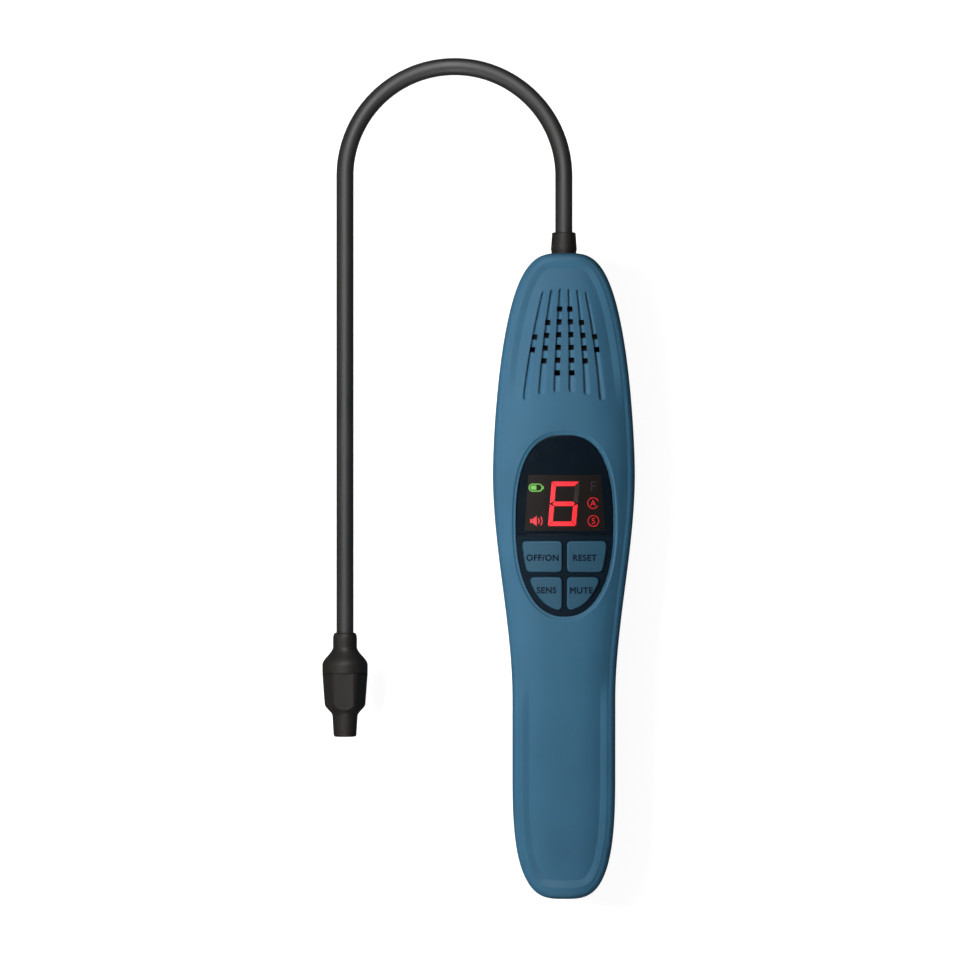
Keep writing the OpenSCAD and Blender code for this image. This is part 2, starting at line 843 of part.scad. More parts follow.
module display_module() {
    top = panel_foot_z - panel_dip;
    color(part_black) place() translate([0, display_y, 0]) {
        block([-display_back_w / 2, -display_back_h / 2, board_top_z],
            [display_back_w / 2, display_back_h / 2, top]);
        block([-display_w / 2, -display_h / 2, top - display_lip_z],
            [display_w / 2, display_h / 2, top - display_lip]);
    }
}

module display_window() {
    color(panel_navy) place() crowned_plate(panel_foot_z, panel_top_z) intersection() {
        oval(-rest_gap);
        translate([-panel_w, seam_y + fit_gap / 2]) square([2 * panel_w, panel_h]);
    }
}

// Outline of a key: column is -1 or 1, row is 0 for the upper keys and 1 for the lower
module key_outline(column, row, grow) {
    high = row == 0 ? key_top_y : key_mid_y - key_gap / 2;
    low = row == 0 ? key_mid_y + key_gap / 2 : -panel_h;
    scale_x(column) offset(delta = grow) offset(r = key_r, $fn = 32) offset(delta = -key_r) intersection() {
        oval(-key_rim);
        translate([key_gap / 2, low]) square([panel_w, high - low]);
    }
}

module key_bezel() {
    color(panel_navy) place() crowned_plate(panel_foot_z, panel_top_z) difference() {
        intersection() {
            oval(-rest_gap);
            translate([-panel_w, seam_y - fit_gap / 2 - panel_h]) square([2 * panel_w, panel_h]);
        }
        for (column = [-1, 1], row = [0, 1]) key_outline(column, row, rest_gap);
    }
}

// Middle of a key, where its stem stands
function key_spot(column, row) = [column * key_x, key_mid_y + (row == 0 ? 1 : -1) * key_row_offset];

module key(column, row) {
    color(key_blue) place() {
        panel_place(key_flange_z) linear_extrude(key_flange_t) key_outline(column, row, key_flange);
        intersection() {
            panel_place(key_flange_z) linear_extrude(body_d - key_flange_z) key_outline(column, row, 0);
            under_crown(panel_top_z + key_rise);
        }
        panel_place(plunger_top_z) translate(key_spot(column, row))
            cylinder(d = key_stem_d, h = key_flange_z - plunger_top_z + key_flange_t / 2);
    }
}

module plunger(column, row) {
    color(part_black) place() panel_place(plunger_z) translate(key_spot(column, row))
        cylinder(d = plunger_d, h = plunger_h);
}

module tact_switches() {
    color(cell_grey) place() for (column = [-1, 1], row = [0, 1])
        panel_place(board_top_z) translate(key_spot(column, row)) difference() {
            translate([-switch_w / 2, -switch_w / 2, 0]) cube([switch_w, switch_w, switch_h]);
            translate([0, 0, switch_floor]) cylinder(d = plunger_d + 2 * slide_gap, h = switch_h);
        }
}

module sounder() {
    color(part_black) place() translate([0, sounder_y, sounder_top_z - sounder_h]) difference() {
        cylinder(d = sounder_d, h = sounder_h);
        translate([0, 0, sounder_h / 2]) cylinder(d = sounder_port_d, h = sounder_h);
    }
}

module gooseneck_collar() {
    color(neck_black) place() along_neck(0) rotate_extrude() polygon([
        [neck_d / 2 + fit_gap, collar_flange_y - collar_flange_t],
        [collar_flange_d / 2, collar_flange_y - collar_flange_t],
        [collar_flange_d / 2, collar_flange_y],
        [collar_stem_d / 2, collar_flange_y],
        [collar_stem_d / 2, 0],
        [collar_neck_d / 2, 0],
        [collar_neck_d / 2, collar_neck_l],
        [collar_d / 2, collar_neck_l],
        [collar_top_d / 2, collar_l - 0.4],
        [collar_top_d / 2 - 0.4, collar_l],
        [neck_d / 2 + fit_gap, collar_l]
    ]);
}

module gooseneck_anchor() {
    color(gold) place() along_neck(anchor_low_y) difference() {
        cylinder(d = anchor_d, h = anchor_l);
        translate([0, 0, -cut_past]) cylinder(d = neck_d + fit_gap, h = anchor_l + 2 * cut_past);
    }
}

// Round bar along the neck, from a distance behind the nose to a distance into the tip
module neck_bar(d, start, into_tip) {
    along_neck(start) cylinder(d = d, h = neck_rise - start);
    translate([-bend_r, bend_y, neck_z]) rotate_extrude(angle = 180, $fn = 96)
        translate([bend_r, 0]) circle(d = d);
    translate([neck_far_x, tip_y - into_tip, neck_z]) rotate([-90, 0, 0])
        cylinder(d = d, h = bend_y - tip_y + into_tip);
}

module gooseneck_sleeve() {
    color(neck_black) place() difference() {
        neck_bar(neck_d, anchor_low_y, neck_in_tip);
        neck_bar(neck_d - 2 * neck_wall, anchor_low_y - cut_past, neck_in_tip + cut_past);
    }
}

module gooseneck_core() {
    color(steel) place() difference() {
        neck_bar(core_d, anchor_low_y - fit_gap, neck_in_tip);
        neck_bar(core_bore, anchor_low_y - cut_past, neck_in_tip + cut_past);
    }
}

module sensor_leads() {
    color("firebrick") place() neck_bar(lead_d, board_high_y - connector_in - body_l, socket_y);
}

module lead_connector() {
    color(felt_white) place()
        block([-connector_w / 2, board_high_y - connector_in - connector_l, neck_z - connector_drop],
            [connector_w / 2, board_high_y - connector_in, board_z]);
}

// Points of a soft step in radius along the tip
function soft_step(d0, y0, d1, y1) = [
    for (i = [0 : ease_steps]) let (t = i / ease_steps) [mix(d0, d1, ease(t)) / 2, mix(y0, y1, t)]
];

module tip_holder() {
    color(neck_black) place() along_tip() rotate_extrude() polygon(concat(
        [[neck_d / 2 + fit_gap, 0]],
        [
            for (a = [0 : 30 : 90])
                [bead_d / 2 - bead_round * (1 - sin(a)), bead_round_l * (1 - cos(a))]
        ],
        soft_step(bead_d, bead_l, barrel_d, shoulder_y),
        [
            [barrel_d / 2, cover_y - fit_gap],
            [spigot_d / 2, cover_y - fit_gap],
            [spigot_d / 2, cover_y + spigot_l],
            [spigot_d / 2 - spigot_wall, cover_y + spigot_l],
            [spigot_d / 2 - spigot_wall, socket_y],
            [neck_d / 2 + fit_gap, socket_y]
        ]
    ));
}

module tip_cover() {
    color(neck_black) place() along_tip() difference() {
        rotate_extrude() polygon(concat(
            [[chamber_d / 2, cover_y], [barrel_d / 2, cover_y]],
            soft_step(barrel_end_d, flare_y, nozzle_top_d, flare_y + flare_l),
            [
                [nozzle_d / 2, tip_l - nozzle_round],
                [nozzle_d / 2 - nozzle_round, tip_l],
                [nozzle_bore / 2, tip_l],
                [nozzle_bore / 2, flare_y + flare_l],
                [chamber_d / 2, chamber_end_y]
            ]
        ));
        for (i = [0 : scallop_count - 1])
            rotate(360 * i / scallop_count + 90)
                translate([barrel_d / 2 - scallop_deep, 0, cover_y])
                    rotate([0, -barrel_lean, 0]) translate([scallop_r, 0, -cut_past])
                        cylinder(r = scallop_r, h = scallop_l + cut_past, $fn = 96);
    }
}

module tip_filter() {
    color(felt_white) place() along_tip() translate([0, 0, tip_l - filter_in - filter_t])
        cylinder(d = nozzle_bore - fit_gap, h = filter_t);
}

module sensor_socket() {
    color(part_black) place() along_tip() translate([0, 0, socket_y]) cylinder(d = socket_d, h = socket_l);
}

module sensor_can() {
    color(steel) place() along_tip() translate([0, 0, socket_y + socket_l]) {
        cylinder(d = can_d, h = can_l);
        cylinder(d = socket_d, h = can_rim);
    }
}

front_shell();
rear_shell();
shell_screws();
battery_door();
battery_cell(-1, 0);  // battery_cell_1
battery_cell(-1, 1);  // battery_cell_2
battery_cell(1, 0);  // battery_cell_3
battery_cell(1, 1);  // battery_cell_4
battery_contacts();
battery_springs();
battery_leads();
main_board();
board_screws();
display_module();
display_window();
key_bezel();
tact_switches();
key(-1, 0);  // power_key
key(1, 0);  // reset_key
key(-1, 1);  // sens_key
key(1, 1);  // mute_key
plunger(-1, 0);  // power_plunger
plunger(1, 0);  // reset_plunger
plunger(-1, 1);  // sens_plunger
plunger(1, 1);  // mute_plunger
sounder();
gooseneck_collar();
gooseneck_anchor();
gooseneck_sleeve();
gooseneck_core();
sensor_leads();
lead_connector();
tip_holder();
tip_cover();
tip_filter();
sensor_socket();
sensor_can();
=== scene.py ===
"""Dresses a hand-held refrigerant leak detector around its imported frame.

Pieces are made in millimetres, with y counted from the heel, and set down in metres in the frame.
"""

import math

import bmesh
import bpy
from mathutils import Matrix, Vector


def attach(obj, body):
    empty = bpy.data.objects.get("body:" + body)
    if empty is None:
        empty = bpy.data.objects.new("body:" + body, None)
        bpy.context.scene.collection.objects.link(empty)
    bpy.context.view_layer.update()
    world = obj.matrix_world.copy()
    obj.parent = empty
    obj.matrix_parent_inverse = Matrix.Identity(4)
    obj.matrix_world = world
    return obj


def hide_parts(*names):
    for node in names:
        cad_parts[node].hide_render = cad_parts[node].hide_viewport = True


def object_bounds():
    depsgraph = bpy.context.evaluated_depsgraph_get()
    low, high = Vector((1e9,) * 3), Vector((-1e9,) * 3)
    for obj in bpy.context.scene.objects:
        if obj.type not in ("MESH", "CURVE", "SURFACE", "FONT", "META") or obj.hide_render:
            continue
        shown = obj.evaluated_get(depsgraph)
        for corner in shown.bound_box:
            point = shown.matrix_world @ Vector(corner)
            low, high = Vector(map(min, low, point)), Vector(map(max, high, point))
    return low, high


bl_info = {
    "name": "Leak detector",
    "version": (1, 0, 0),
    "blender": (4, 5, 0),
    "location": "3D View > Sidebar > Detector",
    "description": "Shells, panel, keys, display, gooseneck and tip of a hand-held refrigerant leak detector",
    "category": "Object",
}

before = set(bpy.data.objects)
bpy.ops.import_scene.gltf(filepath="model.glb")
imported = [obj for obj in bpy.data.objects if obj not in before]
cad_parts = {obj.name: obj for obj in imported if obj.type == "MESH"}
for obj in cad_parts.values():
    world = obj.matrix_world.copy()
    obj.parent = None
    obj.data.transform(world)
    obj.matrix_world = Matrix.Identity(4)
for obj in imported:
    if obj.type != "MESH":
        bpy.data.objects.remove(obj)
cad_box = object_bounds()

MM = 0.001

# Body
BODY_L, GRIP_W, HEAD_W = 225.0, 36.0, 49.7
HEAD_Y, SWELL_Y, HEEL_L = 148.0, 69.0, 45.0
NOSE_L = BODY_L - HEAD_Y
HEEL_P, HEEL_Q, NOSE_P, NOSE_Q = 3.0, 3.3, 1.6, 3.5
BODY_D, REAR_D, WALL, INNER_SOFT = 33.0, 17.0, 2.0, 1.2
PARTING_GAP = 0.02
# Rows up the side of the front shell: inset, height above the parting line, share of the front's form
SIDE_ROWS = ((0.05, 3.0, 0.1), (0.15, 7.5, 0.5))
FRONT_R, BACK_R, DRAFT = 2.4, 3.5, 0.3
CREST_IN = DRAFT + FRONT_R
RIM_H, RIM_WALL, RIM_LIP, RIM_HEEL = 1.0, 2.8, 0.3, 1.2
RIM_GRIP_Y, RIM_GRIP_L, RIM_NOSE_Y, RIM_NOSE_L = SWELL_Y + 11.0, 14.0, HEAD_Y + 19.0, 18.0
# Wall of the rim, as shares of its width and of its height
RIM_PROFILE = (
    (0, 1), (0.05, 0.985), (0.12, 0.93), (0.3, 0.735), (0.7, 0.265), (0.88, 0.07), (0.95, 0.015), (1, 0))
GRIP_FALL, GRIP_FALL_L, NOSE_FALL, NOSE_FALL_L = 3.0, SWELL_Y + 26.0, 1.5, 13.0
CROWN, CROWN_P = 6.0, 3.0
SPINE_LOW, SPINE_HIGH = 26.0, 196.0

# Panel
PANEL_W, PANEL_H, PANEL_Y = 34.0, 63.0, 130.0
PANEL_TOP_N, PANEL_LOW_N = 2.6, 2.25
PANEL_SINK, PANEL_T = 0.9, 1.7
PANEL_TOP_Z = BODY_D - PANEL_SINK
PANEL_FOOT_Z = PANEL_TOP_Z - PANEL_T
LEDGE_W = 1.2
PANEL_CORNER, PANEL_EDGE = 0.5, 0.15
SEAM_Y, SEAM_GAP = PANEL_Y - 3.2, 0.05
REST_GAP = 0.15
# Soft edge round the panel, as shares of its width and depths below the front
SOFT_PROFILE = (
    (0.0, 0.66), (0.06, 0.57), (0.16, 0.52), (0.42, 0.49), (0.54, 0.42), (0.66, 0.28), (0.78, 0.12),
    (0.9, 0.03), (1.0, 0.0), (1.2, -0.04))

# Keys
KEY_GAP, KEY_H, KEY_RIM, KEY_R, KEY_RISE = 1.6, 10.9, 2.1, 1.5, 0.7
KEY_TOP_Y = SEAM_Y - 2.0
KEY_MID_Y = KEY_TOP_Y - KEY_H - KEY_GAP / 2
KEY_PLAY, FLANGE_OUT, FLANGE_T = 0.15, 0.5, 1.0
STEM_X, STEM_Y, STEM_R = 8.0, 5.6, 1.6
LEGEND_BOLD, LEGEND_SPACE = 0.085, 1.08

# Display
SCREEN_CORNERS = ((-13.85, 128.3), (13.95, 128.3), (12.6, 147.7), (-12.6, 147.7))
SIGN_R, SIGN_LINE, SIGN_LETTER = 2.0, 0.28, 2.1
AUTO_SPOT, LEVEL_SPOT = (9.89, 137.9), (9.99, 131.7)
UNLIT_SPOT, UNLIT_LETTER = (10.0, 143.7), 3.4

# Grille
GROOVE_L, GROOVE_TOP_PITCH, GROOVE_LOW_PITCH = 35.0, 3.0, 5.3
GROOVE_TOP_BOW, GROOVE_LOW_BOW = 0.17, 0.45
GRILLE_TOP_Y = BODY_L - 13.4
GRILLE_LOW_Y = GRILLE_TOP_Y - GROOVE_L
HOLE_ROWS, HOLE_FIRST, HOLE_PITCH, HOLE_BOW = (2, 4, 6, 6, 4, 2), 6.4, 4.43, 0.13
GROOVE_COUNT = 6
GROOVE_MID = (GROOVE_COUNT - 1) / 2
GROOVE_SWAY = 0.24
# Section of a groove from its left wall: shares of the width and of the depth, negative above the front
GROOVE_SECTION = (
    (0.0, -1.0), (0.0, -0.1), (0.0, 1.0), (0.05, 0.95), (0.25, 0.6), (0.48, 0.32), (0.72, 0.12),
    (1.0, -0.03), (1.0, -1.0))
# Angles round the nose end of a groove, and shares of its length and width at its foot
GROOVE_HEAD, GROOVE_FOOT = (0.15, 0.4, 0.7, 1.0, 1.3), ((0.985, 0.96), (1.0, 0.8))

# Gooseneck and tip
NECK_L, NECK_RISE, NECK_D, NECK_Z, BEND_R = 300.0, 27.3, 6.0, REAR_D, 38.3
NECK_IN_BODY, NECK_IN_TIP = 14.6, 8.6
BEND_Y = BODY_L + NECK_RISE
NECK_FAR_X = -2 * BEND_R
COLLAR_L, COLLAR_D, COLLAR_PLAY = 7.5, 9.1, 0.1
TIP_Y = BEND_Y - (NECK_L - (NECK_RISE - COLLAR_L) - math.pi * BEND_R)
TIP_L, BEAD_D, BEAD_L, BARREL_D, SHOULDER_Y = 36.3, 8.4, 4.9, 15.9, 11.2
BEAD_ROUND, BEAD_ROUND_L = 0.8, 2.0
COVER_Y, FLARE_Y, FLARE_L = 14.0, 24.8, 4.4
BARREL_END_D, NOZZLE_D, NOZZLE_TOP_D, NOZZLE_BORE = 14.3, 8.0, 8.8, 5.6
CHAMBER_D, SPIGOT_L, SPIGOT_WALL, SOCKET_Y = 11.5, 5.0, 1.0, 10.9
SPIGOT_D = CHAMBER_D - 0.6
FLUTE_R, FLUTE_DEEP, FLUTE_TURN = 40.0, 0.8, math.pi / 3

# Battery bay and the screws at the back
BOX_HALF, BOX_WALL, BOX_LOW_Y, BOX_HIGH_Y = 11.5, 1.4, 14.4, 109.6
BOX_TOP_Z, RUNNER_Z, RUNNER_T, RUNNER_W = 14.65, 2.15, 1.1, 0.8
ROOM_LOW_Z, SLOT_HIGH_Z, RUNNER_ROOM_Z = 1.9, 3.0, RUNNER_Z + RUNNER_T + 0.3
DOOR_HALF, DOOR_HIGH_Y, DOOR_Z = 10.4, 109.3, 0.15
THUMB_COUNT, THUMB_FIRST, THUMB_PITCH, THUMB_HALF, THUMB_DEEP = 5, 5.5, 2.2, 0.62, 0.55
# Ends of a thumb groove, as places across the door and shares of its section
THUMB_ENDS = ((-7.0, 0.1), (-6.7, 0.6), (-6.2, 1.0), (6.2, 1.0), (6.7, 0.6), (7.0, 0.1))
SCREW_SPOTS = ((11.0, BODY_L - 21.0), (HEAD_W / 2 - 6.3, HEAD_Y))
SCREW_SEAT_Z, SCREW_HEAD_D, SCREW_HEAD_H, SCREW_D, SCREW_L = 9.0, 4.8, 2.0, 2.2, 15.0
THREAD_PITCH, THREAD_DEEP = 0.9, 0.22
CROSS_HALF_L, CROSS_HALF_W, CROSS_DEEP = 1.5, 0.36, 1.1
WELL_PLAY, POST_D = 0.3, 7.4
CELL_L, CELL_BAND_Y, CELL_TURNED_BAND_Y = 44.5, 58.1, 65.9

# Stage, in metres
LIGHT_AIM = (0.0, 0.0, 0.02)
FLOOR_HALF, FLOOR_DROP = 6.0, 0.0005
VIEW_X, VIEW_Y, VIEW_Z, VIEW_WIDE, CAMERA_FAR = -0.02935, 0.0159, 0.02, 0.3354, 1.6

# Most of a noise texture's values lie between these
NOISE_LOW, NOISE_HIGH = 0.3, 0.7
# The wave texture turns its phase by this many radians for each unit of length and of scale
WAVE_RATE = 20.0


class DetectorSizes(bpy.types.PropertyGroup):
    """Sizes of the dressing, in millimetres."""

    outline_step: bpy.props.FloatProperty(
        name="Outline step", description="Spacing of the points round the shells in mm",
        default=1.3, min=0.6, max=4.0)
    parting: bpy.props.FloatProperty(
        name="Parting line", description="Chamfer at the line between the shells in mm",
        default=0.22, min=0.05, max=0.6)
    soft_edge: bpy.props.FloatProperty(
        name="Soft edge", description="Width of the soft edge round the panel in mm",
        default=1.5, min=0.8, max=2.4)
    groove_deep: bpy.props.FloatProperty(
        name="Groove depth", description="Depth of a groove at its left wall in mm",
        default=0.85, min=0.3, max=1.2)
    groove_top: bpy.props.FloatProperty(
        name="Groove top", description="Width of a groove at the nose end in mm",
        default=1.13, min=0.6, max=1.6)
    groove_flat: bpy.props.FloatProperty(
        name="Groove floor", description="Width of the flat strip by the left wall in mm",
        default=0.5, min=0.2, max=0.8)
    groove_foot: bpy.props.FloatProperty(
        name="Groove foot", description="Width of a groove at the panel end in mm",
        default=2.7, min=1.6, max=3.4)
    hole_wide: bpy.props.FloatProperty(
        name="Sound hole", description="Width of a sound hole in mm",
        default=1.88, min=1.0, max=2.4)
    key_round: bpy.props.FloatProperty(
        name="Key rounding", description="Rounding of the edge of a key in mm",
        default=0.55, min=0.2, max=1.0)
    legend: bpy.props.FloatProperty(
        name="Legend height", description="Height of the letters on the keys in mm",
        default=2.08, min=1.0, max=3.0)


class DetectorColours(bpy.types.PropertyGroup):
    """Colours of the finishes, as linear values."""

    body: bpy.props.FloatVectorProperty(
        name="Body", description="Blue of the moulded shells",
        subtype="COLOR", size=3, default=(0.0305, 0.108, 0.182))
    key: bpy.props.FloatVectorProperty(
        name="Keys", description="Blue of the keys",
        subtype="COLOR", size=3, default=(0.0215, 0.076, 0.124))
    bezel: bpy.props.FloatVectorProperty(
        name="Bezel", description="Navy of the key bezel",
        subtype="COLOR", size=3, default=(0.003, 0.009, 0.017))
    window: bpy.props.FloatVectorProperty(
        name="Window", description="Smoke of the window",
        subtype="COLOR", size=3, default=(0.003, 0.007, 0.012))
    screen: bpy.props.FloatVectorProperty(
        name="Screen", description="Brown of the unlit screen",
        subtype="COLOR", size=3, default=(0.0145, 0.0110, 0.0098))
    segment: bpy.props.FloatVectorProperty(
        name="Segments", description="Red of the lit segments",
        subtype="COLOR", size=3, default=(0.86, 0.012, 0.022))
    charge: bpy.props.FloatVectorProperty(
        name="Charge sign", description="Green of the charge sign",
        subtype="COLOR", size=3, default=(0.10, 0.36, 0.035))
    legend: bpy.props.FloatVectorProperty(
        name="Legends", description="Print on the keys",
        subtype="COLOR", size=3, default=(0.0012, 0.004, 0.010))
    neck: bpy.props.FloatVectorProperty(
        name="Gooseneck", description="Black of the sleeve",
        subtype="COLOR", size=3, default=(0.0105, 0.0098, 0.0092))
    tip: bpy.props.FloatVectorProperty(
        name="Tip", description="Black of the tip and collar",
        subtype="COLOR", size=3, default=(0.0120, 0.0104, 0.0090))
    floor: bpy.props.FloatVectorProperty(
        name="Floor", description="Pale floor",
        subtype="COLOR", size=3, default=(0.30, 0.305, 0.31))


def sizes():
    return bpy.context.scene.detector_sizes


def colours():
    return bpy.context.scene.detector_colours


# Form of the body


def mix(a, b, t):
    return a + (b - a) * t


def ease(t):
    u = min(1.0, max(0.0, t))
    return u * u * (3 - 2 * u)


def width_at(y):
    if y < HEEL_L:
        share = 1 - (max(0.0, HEEL_L - y) / HEEL_L) ** HEEL_P
        return max(0.01, GRIP_W / 2 * max(0.0, share) ** (1 / HEEL_Q))
    if y > HEAD_Y:
        share = 1 - ((y - HEAD_Y) / NOSE_L) ** NOSE_P
        return max(0.01, HEAD_W / 2 * max(0.0, share) ** (1 / NOSE_Q))
    return mix(GRIP_W, HEAD_W, ease((y - SWELL_Y) / (HEAD_Y - SWELL_Y))) / 2


def fall(y):
    grip = GRIP_FALL * ease((GRIP_FALL_L - y) / GRIP_FALL_L)
    nose = NOSE_FALL * ease((y - BODY_L + NOSE_FALL_L) / NOSE_FALL_L)
    return -grip - nose


def rim(y):
    return RIM_H * (ease((RIM_GRIP_Y - y) / RIM_GRIP_L) + ease((y - RIM_NOSE_Y) / RIM_NOSE_L))


def crown_drop(x, y):
    w = width_at(y)
    return CROWN * 2 * w / HEAD_W * (abs(x) / w) ** CROWN_P


def front_z(x, y):
    return BODY_D + fall(y) - crown_drop(x, y)


PANEL_DIP = crown_drop(PANEL_W / 2, PANEL_Y)
PANEL_CROWN_R = PANEL_W * PANEL_W / (8 * PANEL_DIP) + PANEL_DIP / 2


def panel_crown(x):
    """Drop of the crowned panel to the side."""
    return PANEL_CROWN_R - math.sqrt(PANEL_CROWN_R ** 2 - x * x)


def outline():
    """Right-hand edge from the middle of the heel to that of the nose, evenly spaced, with its normals."""
    fine = []
    for i in range(1201):
        a = math.pi / 2 * (i / 1200) ** 2
        fine.append((GRIP_W / 2 * math.sin(a) ** (2 / HEEL_Q), HEEL_L * (1 - math.cos(a) ** (2 / HEEL_P))))
    for i in range(1, 400):
        y = mix(HEEL_L, HEAD_Y, i / 400)
        fine.append((width_at(y), y))
    for i in range(1201):
        a = math.pi / 2 * (1 - i / 1200) ** 2
        fine.append((HEAD_W / 2 * math.sin(a) ** (2 / NOSE_Q), HEAD_Y + NOSE_L * math.cos(a) ** (2 / NOSE_P)))
    run = [0.0]
    for p, q in zip(fine, fine[1:]):
        run.append(run[-1] + math.dist(p, q))
    count = round(run[-1] / sizes().outline_step)
    points, k = [], 0
    for i in range(count + 1):
        goal = run[-1] * i / count
        while k < len(run) - 2 and run[k + 1] < goal:
            k += 1
        t = (goal - run[k]) / max(1e-9, run[k + 1] - run[k])
        points.append((mix(fine[k][0], fine[k + 1][0], t), mix(fine[k][1], fine[k + 1][1], t)))
    normals = []
    for i in range(count + 1):
        a, b = points[max(0, i - 1)], points[min(count, i + 1)]
        length = math.dist(a, b)
        normals.append(((b[1] - a[1]) / length, (a[0] - b[0]) / length))
    normals[0], normals[-1] = (0.0, -1.0), (0.0, 1.0)
    return points, normals


def whole_ring(half):
    """A ring from its right-hand half."""
    return half + [(-x, y, z) for x, y, z in reversed(half[1:-1])]


def layer(edge, inset, z, form, rise, heel=0.0):
    """A ring at an inset from the outline, with its share of the front's form and of the rim.

    The inset grows by a distance towards the middle of the heel.
    """
    half = []
    for (x, y), (nx, ny) in zip(*edge):
        near = inset + heel * max(0.0, -ny) ** 2
        deep = max(near, CREST_IN)
        qx, qy = max(0.0, x - deep * nx), y - deep * ny
        lift = form * (front_z(qx, qy) - BODY_D) + rise * rim(qy)
        half.append((max(0.0, x - near * nx), y - near * ny, z + lift))
    return whole_ring(half)


def lid(ring, steps, height):
    """Rings from a ring to the spine of the body."""
    rings = []
    for k in range(1, steps + 1):
        t = k / steps
        new = []
        for x, y, _ in ring:
            sy = min(SPINE_HIGH, max(SPINE_LOW, y))
            px, py = x * (1 - t), mix(y, sy, t)
            new.append((px, py, height(px, py)))
        rings.append(new)
    return rings


# Meshes


def linked(name, data):
    """An object that shows a mesh, a light or a camera, in the scene."""
    thing = bpy.data.objects.new(name, data)
    bpy.context.scene.collection.objects.link(thing)
    return thing


def discard(piece):
    spent = piece.data
    bpy.data.objects.remove(piece)
    bpy.data.meshes.remove(spent)


def new_piece(name, points, faces):
    mesh = bpy.data.meshes.new(name)
    mesh.from_pydata(points, [], faces)
    mesh.update()
    return linked(name, mesh)


def piece_from(name, bm):
    """A new piece from an open mesh, which is closed."""
    mesh = bpy.data.meshes.new(name)
    bm.to_mesh(mesh)
    bm.free()
    return linked(name, mesh)


def opened(piece):
    """The mesh of a piece, open for changes."""
    bm = bmesh.new()
    bm.from_mesh(piece.data)
    return bm


def shut(piece, bm):
    """Gives a piece its changed mesh back."""
    bm.to_mesh(piece.data)
    bm.free()
    return piece


def welded(piece, turn=True):
    """Joins the points of a piece that fall together and, if asked to, turns its faces outwards."""
    bm = opened(piece)
    bmesh.ops.remove_doubles(bm, verts=bm.verts, dist=5e-4)
    bmesh.ops.dissolve_degenerate(bm, edges=bm.edges, dist=1e-4)
    if turn:
        bmesh.ops.recalc_face_normals(bm, faces=bm.faces)
    return shut(piece, bm)


def split_wide_faces(piece):
    """Cuts the many-sided faces of a piece into triangles and drops those that lie back to back."""
    bm = opened(piece)
    bmesh.ops.triangulate(bm, faces=[f for f in bm.faces if len(f.verts) > 4])
    twins = {}
    for f in bm.faces:
        twins.setdefault(frozenset(v.index for v in f.verts), []).append(f)
    flat = [f for pair in twins.values() if len(pair) == 2 for f in pair]
    bmesh.ops.delete(bm, geom=flat, context="FACES")
    return shut(piece, bm)


def chain(name, rings, closed=False, low_cap=True, high_cap=True):
    """Quads through a chain of rings of equal count, closed on itself or capped at its ends."""
    count = len(rings[0])
    points = [p for ring in rings for p in ring]
    faces = []
    for k in range(len(rings) if closed else len(rings) - 1):
        a, b = k * count, (k + 1) % len(rings) * count
        for i in range(count):
            j = (i + 1) % count
            faces.append((a + i, a + j, b + j, b + i))
    if not closed and low_cap:
        faces.append(tuple(reversed(range(count))))
    if not closed and high_cap:
        faces.append(tuple(range((len(rings) - 1) * count, len(rings) * count)))
    return welded(new_piece(name, points, faces))


def evaluated(piece):
    """Bakes the modifiers of a piece into its mesh."""
    bpy.context.view_layer.update()
    mesh = bpy.data.meshes.new_from_object(piece.evaluated_get(bpy.context.evaluated_depsgraph_get()))
    old = piece.data
    piece.modifiers.clear()
    piece.data = mesh
    bpy.data.meshes.remove(old)


def carve(piece, tool, operation="DIFFERENCE"):
    """Cuts a tool from a piece, or joins it or keeps what they share, and throws the tool away."""
    cut = piece.modifiers.new("cut", "BOOLEAN")
    cut.operation, cut.object, cut.solver = operation, tool, "EXACT"
    evaluated(piece)
    discard(tool)
    return welded(piece, turn=False)


def joined(name, pieces):
    """One mesh from several pieces."""
    bm = bmesh.new()
    for piece in pieces:
        bm.from_mesh(piece.data)
        discard(piece)
    return piece_from(name, bm)


def block(name, low, high):
    (x0, y0, z0), (x1, y1, z1) = low, high
    points = [(x, y, z) for z in (z0, z1) for y in (y0, y1) for x in (x0, x1)]
    faces = [(0, 2, 3, 1), (4, 5, 7, 6), (0, 1, 5, 4), (2, 6, 7, 3), (0, 4, 6, 2), (1, 3, 7, 5)]
    return new_piece(name, points, faces)


def full_turn(steps):
    """Cosines and sines of even steps round a circle."""
    angles = [2 * math.pi * i / steps for i in range(steps)]
    return [(math.cos(a), math.sin(a)) for a in angles]


def quarter_turn(steps):
    """Cosines and sines of even steps from 0 to 90 degrees."""
    angles = [math.pi / 2 * k / steps for k in range(steps + 1)]
    return [(math.cos(a), math.sin(a)) for a in angles]


def turned(name, profile, sides=64, swell=None):
    """A solid of revolution about Z, from a profile of (radius, z) that is closed or ends on the axis."""
    rings = []
    for r, z in profile:
        ring = []
        for i in range(sides):
            a = 2 * math.pi * i / sides
            radius = swell(r, z, a) if swell else r
            ring.append((radius * math.cos(a), radius * math.sin(a), z))
        rings.append(ring)
    solid = profile[0][0] == 0 and profile[-1][0] == 0
    return chain(name, rings, closed=not solid, low_cap=False, high_cap=False)


def moved(piece, matrix):
    piece.data.transform(matrix)
    return piece


def finish_piece(piece, body, finish, nodes=(), sharp=38.0):
    """Sets a piece down in metres with its shading, finish and body, and hides the nodes it stands for."""
    piece.data.transform(Matrix.Scale(MM, 4) @ Matrix.Translation((0, -PANEL_Y, 0)))
    piece.data.shade_smooth()
    piece.data.set_sharp_from_angle(angle=math.radians(sharp))
    normals = piece.modifiers.new("normals", "WEIGHTED_NORMAL")
    normals.keep_sharp = True
    normals.weight = 80
    evaluated(piece)
    piece.data.materials.clear()
    piece.data.materials.append(finish)
    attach(piece, body)
    if nodes:
        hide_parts(*nodes)
    return piece


# Flat outlines


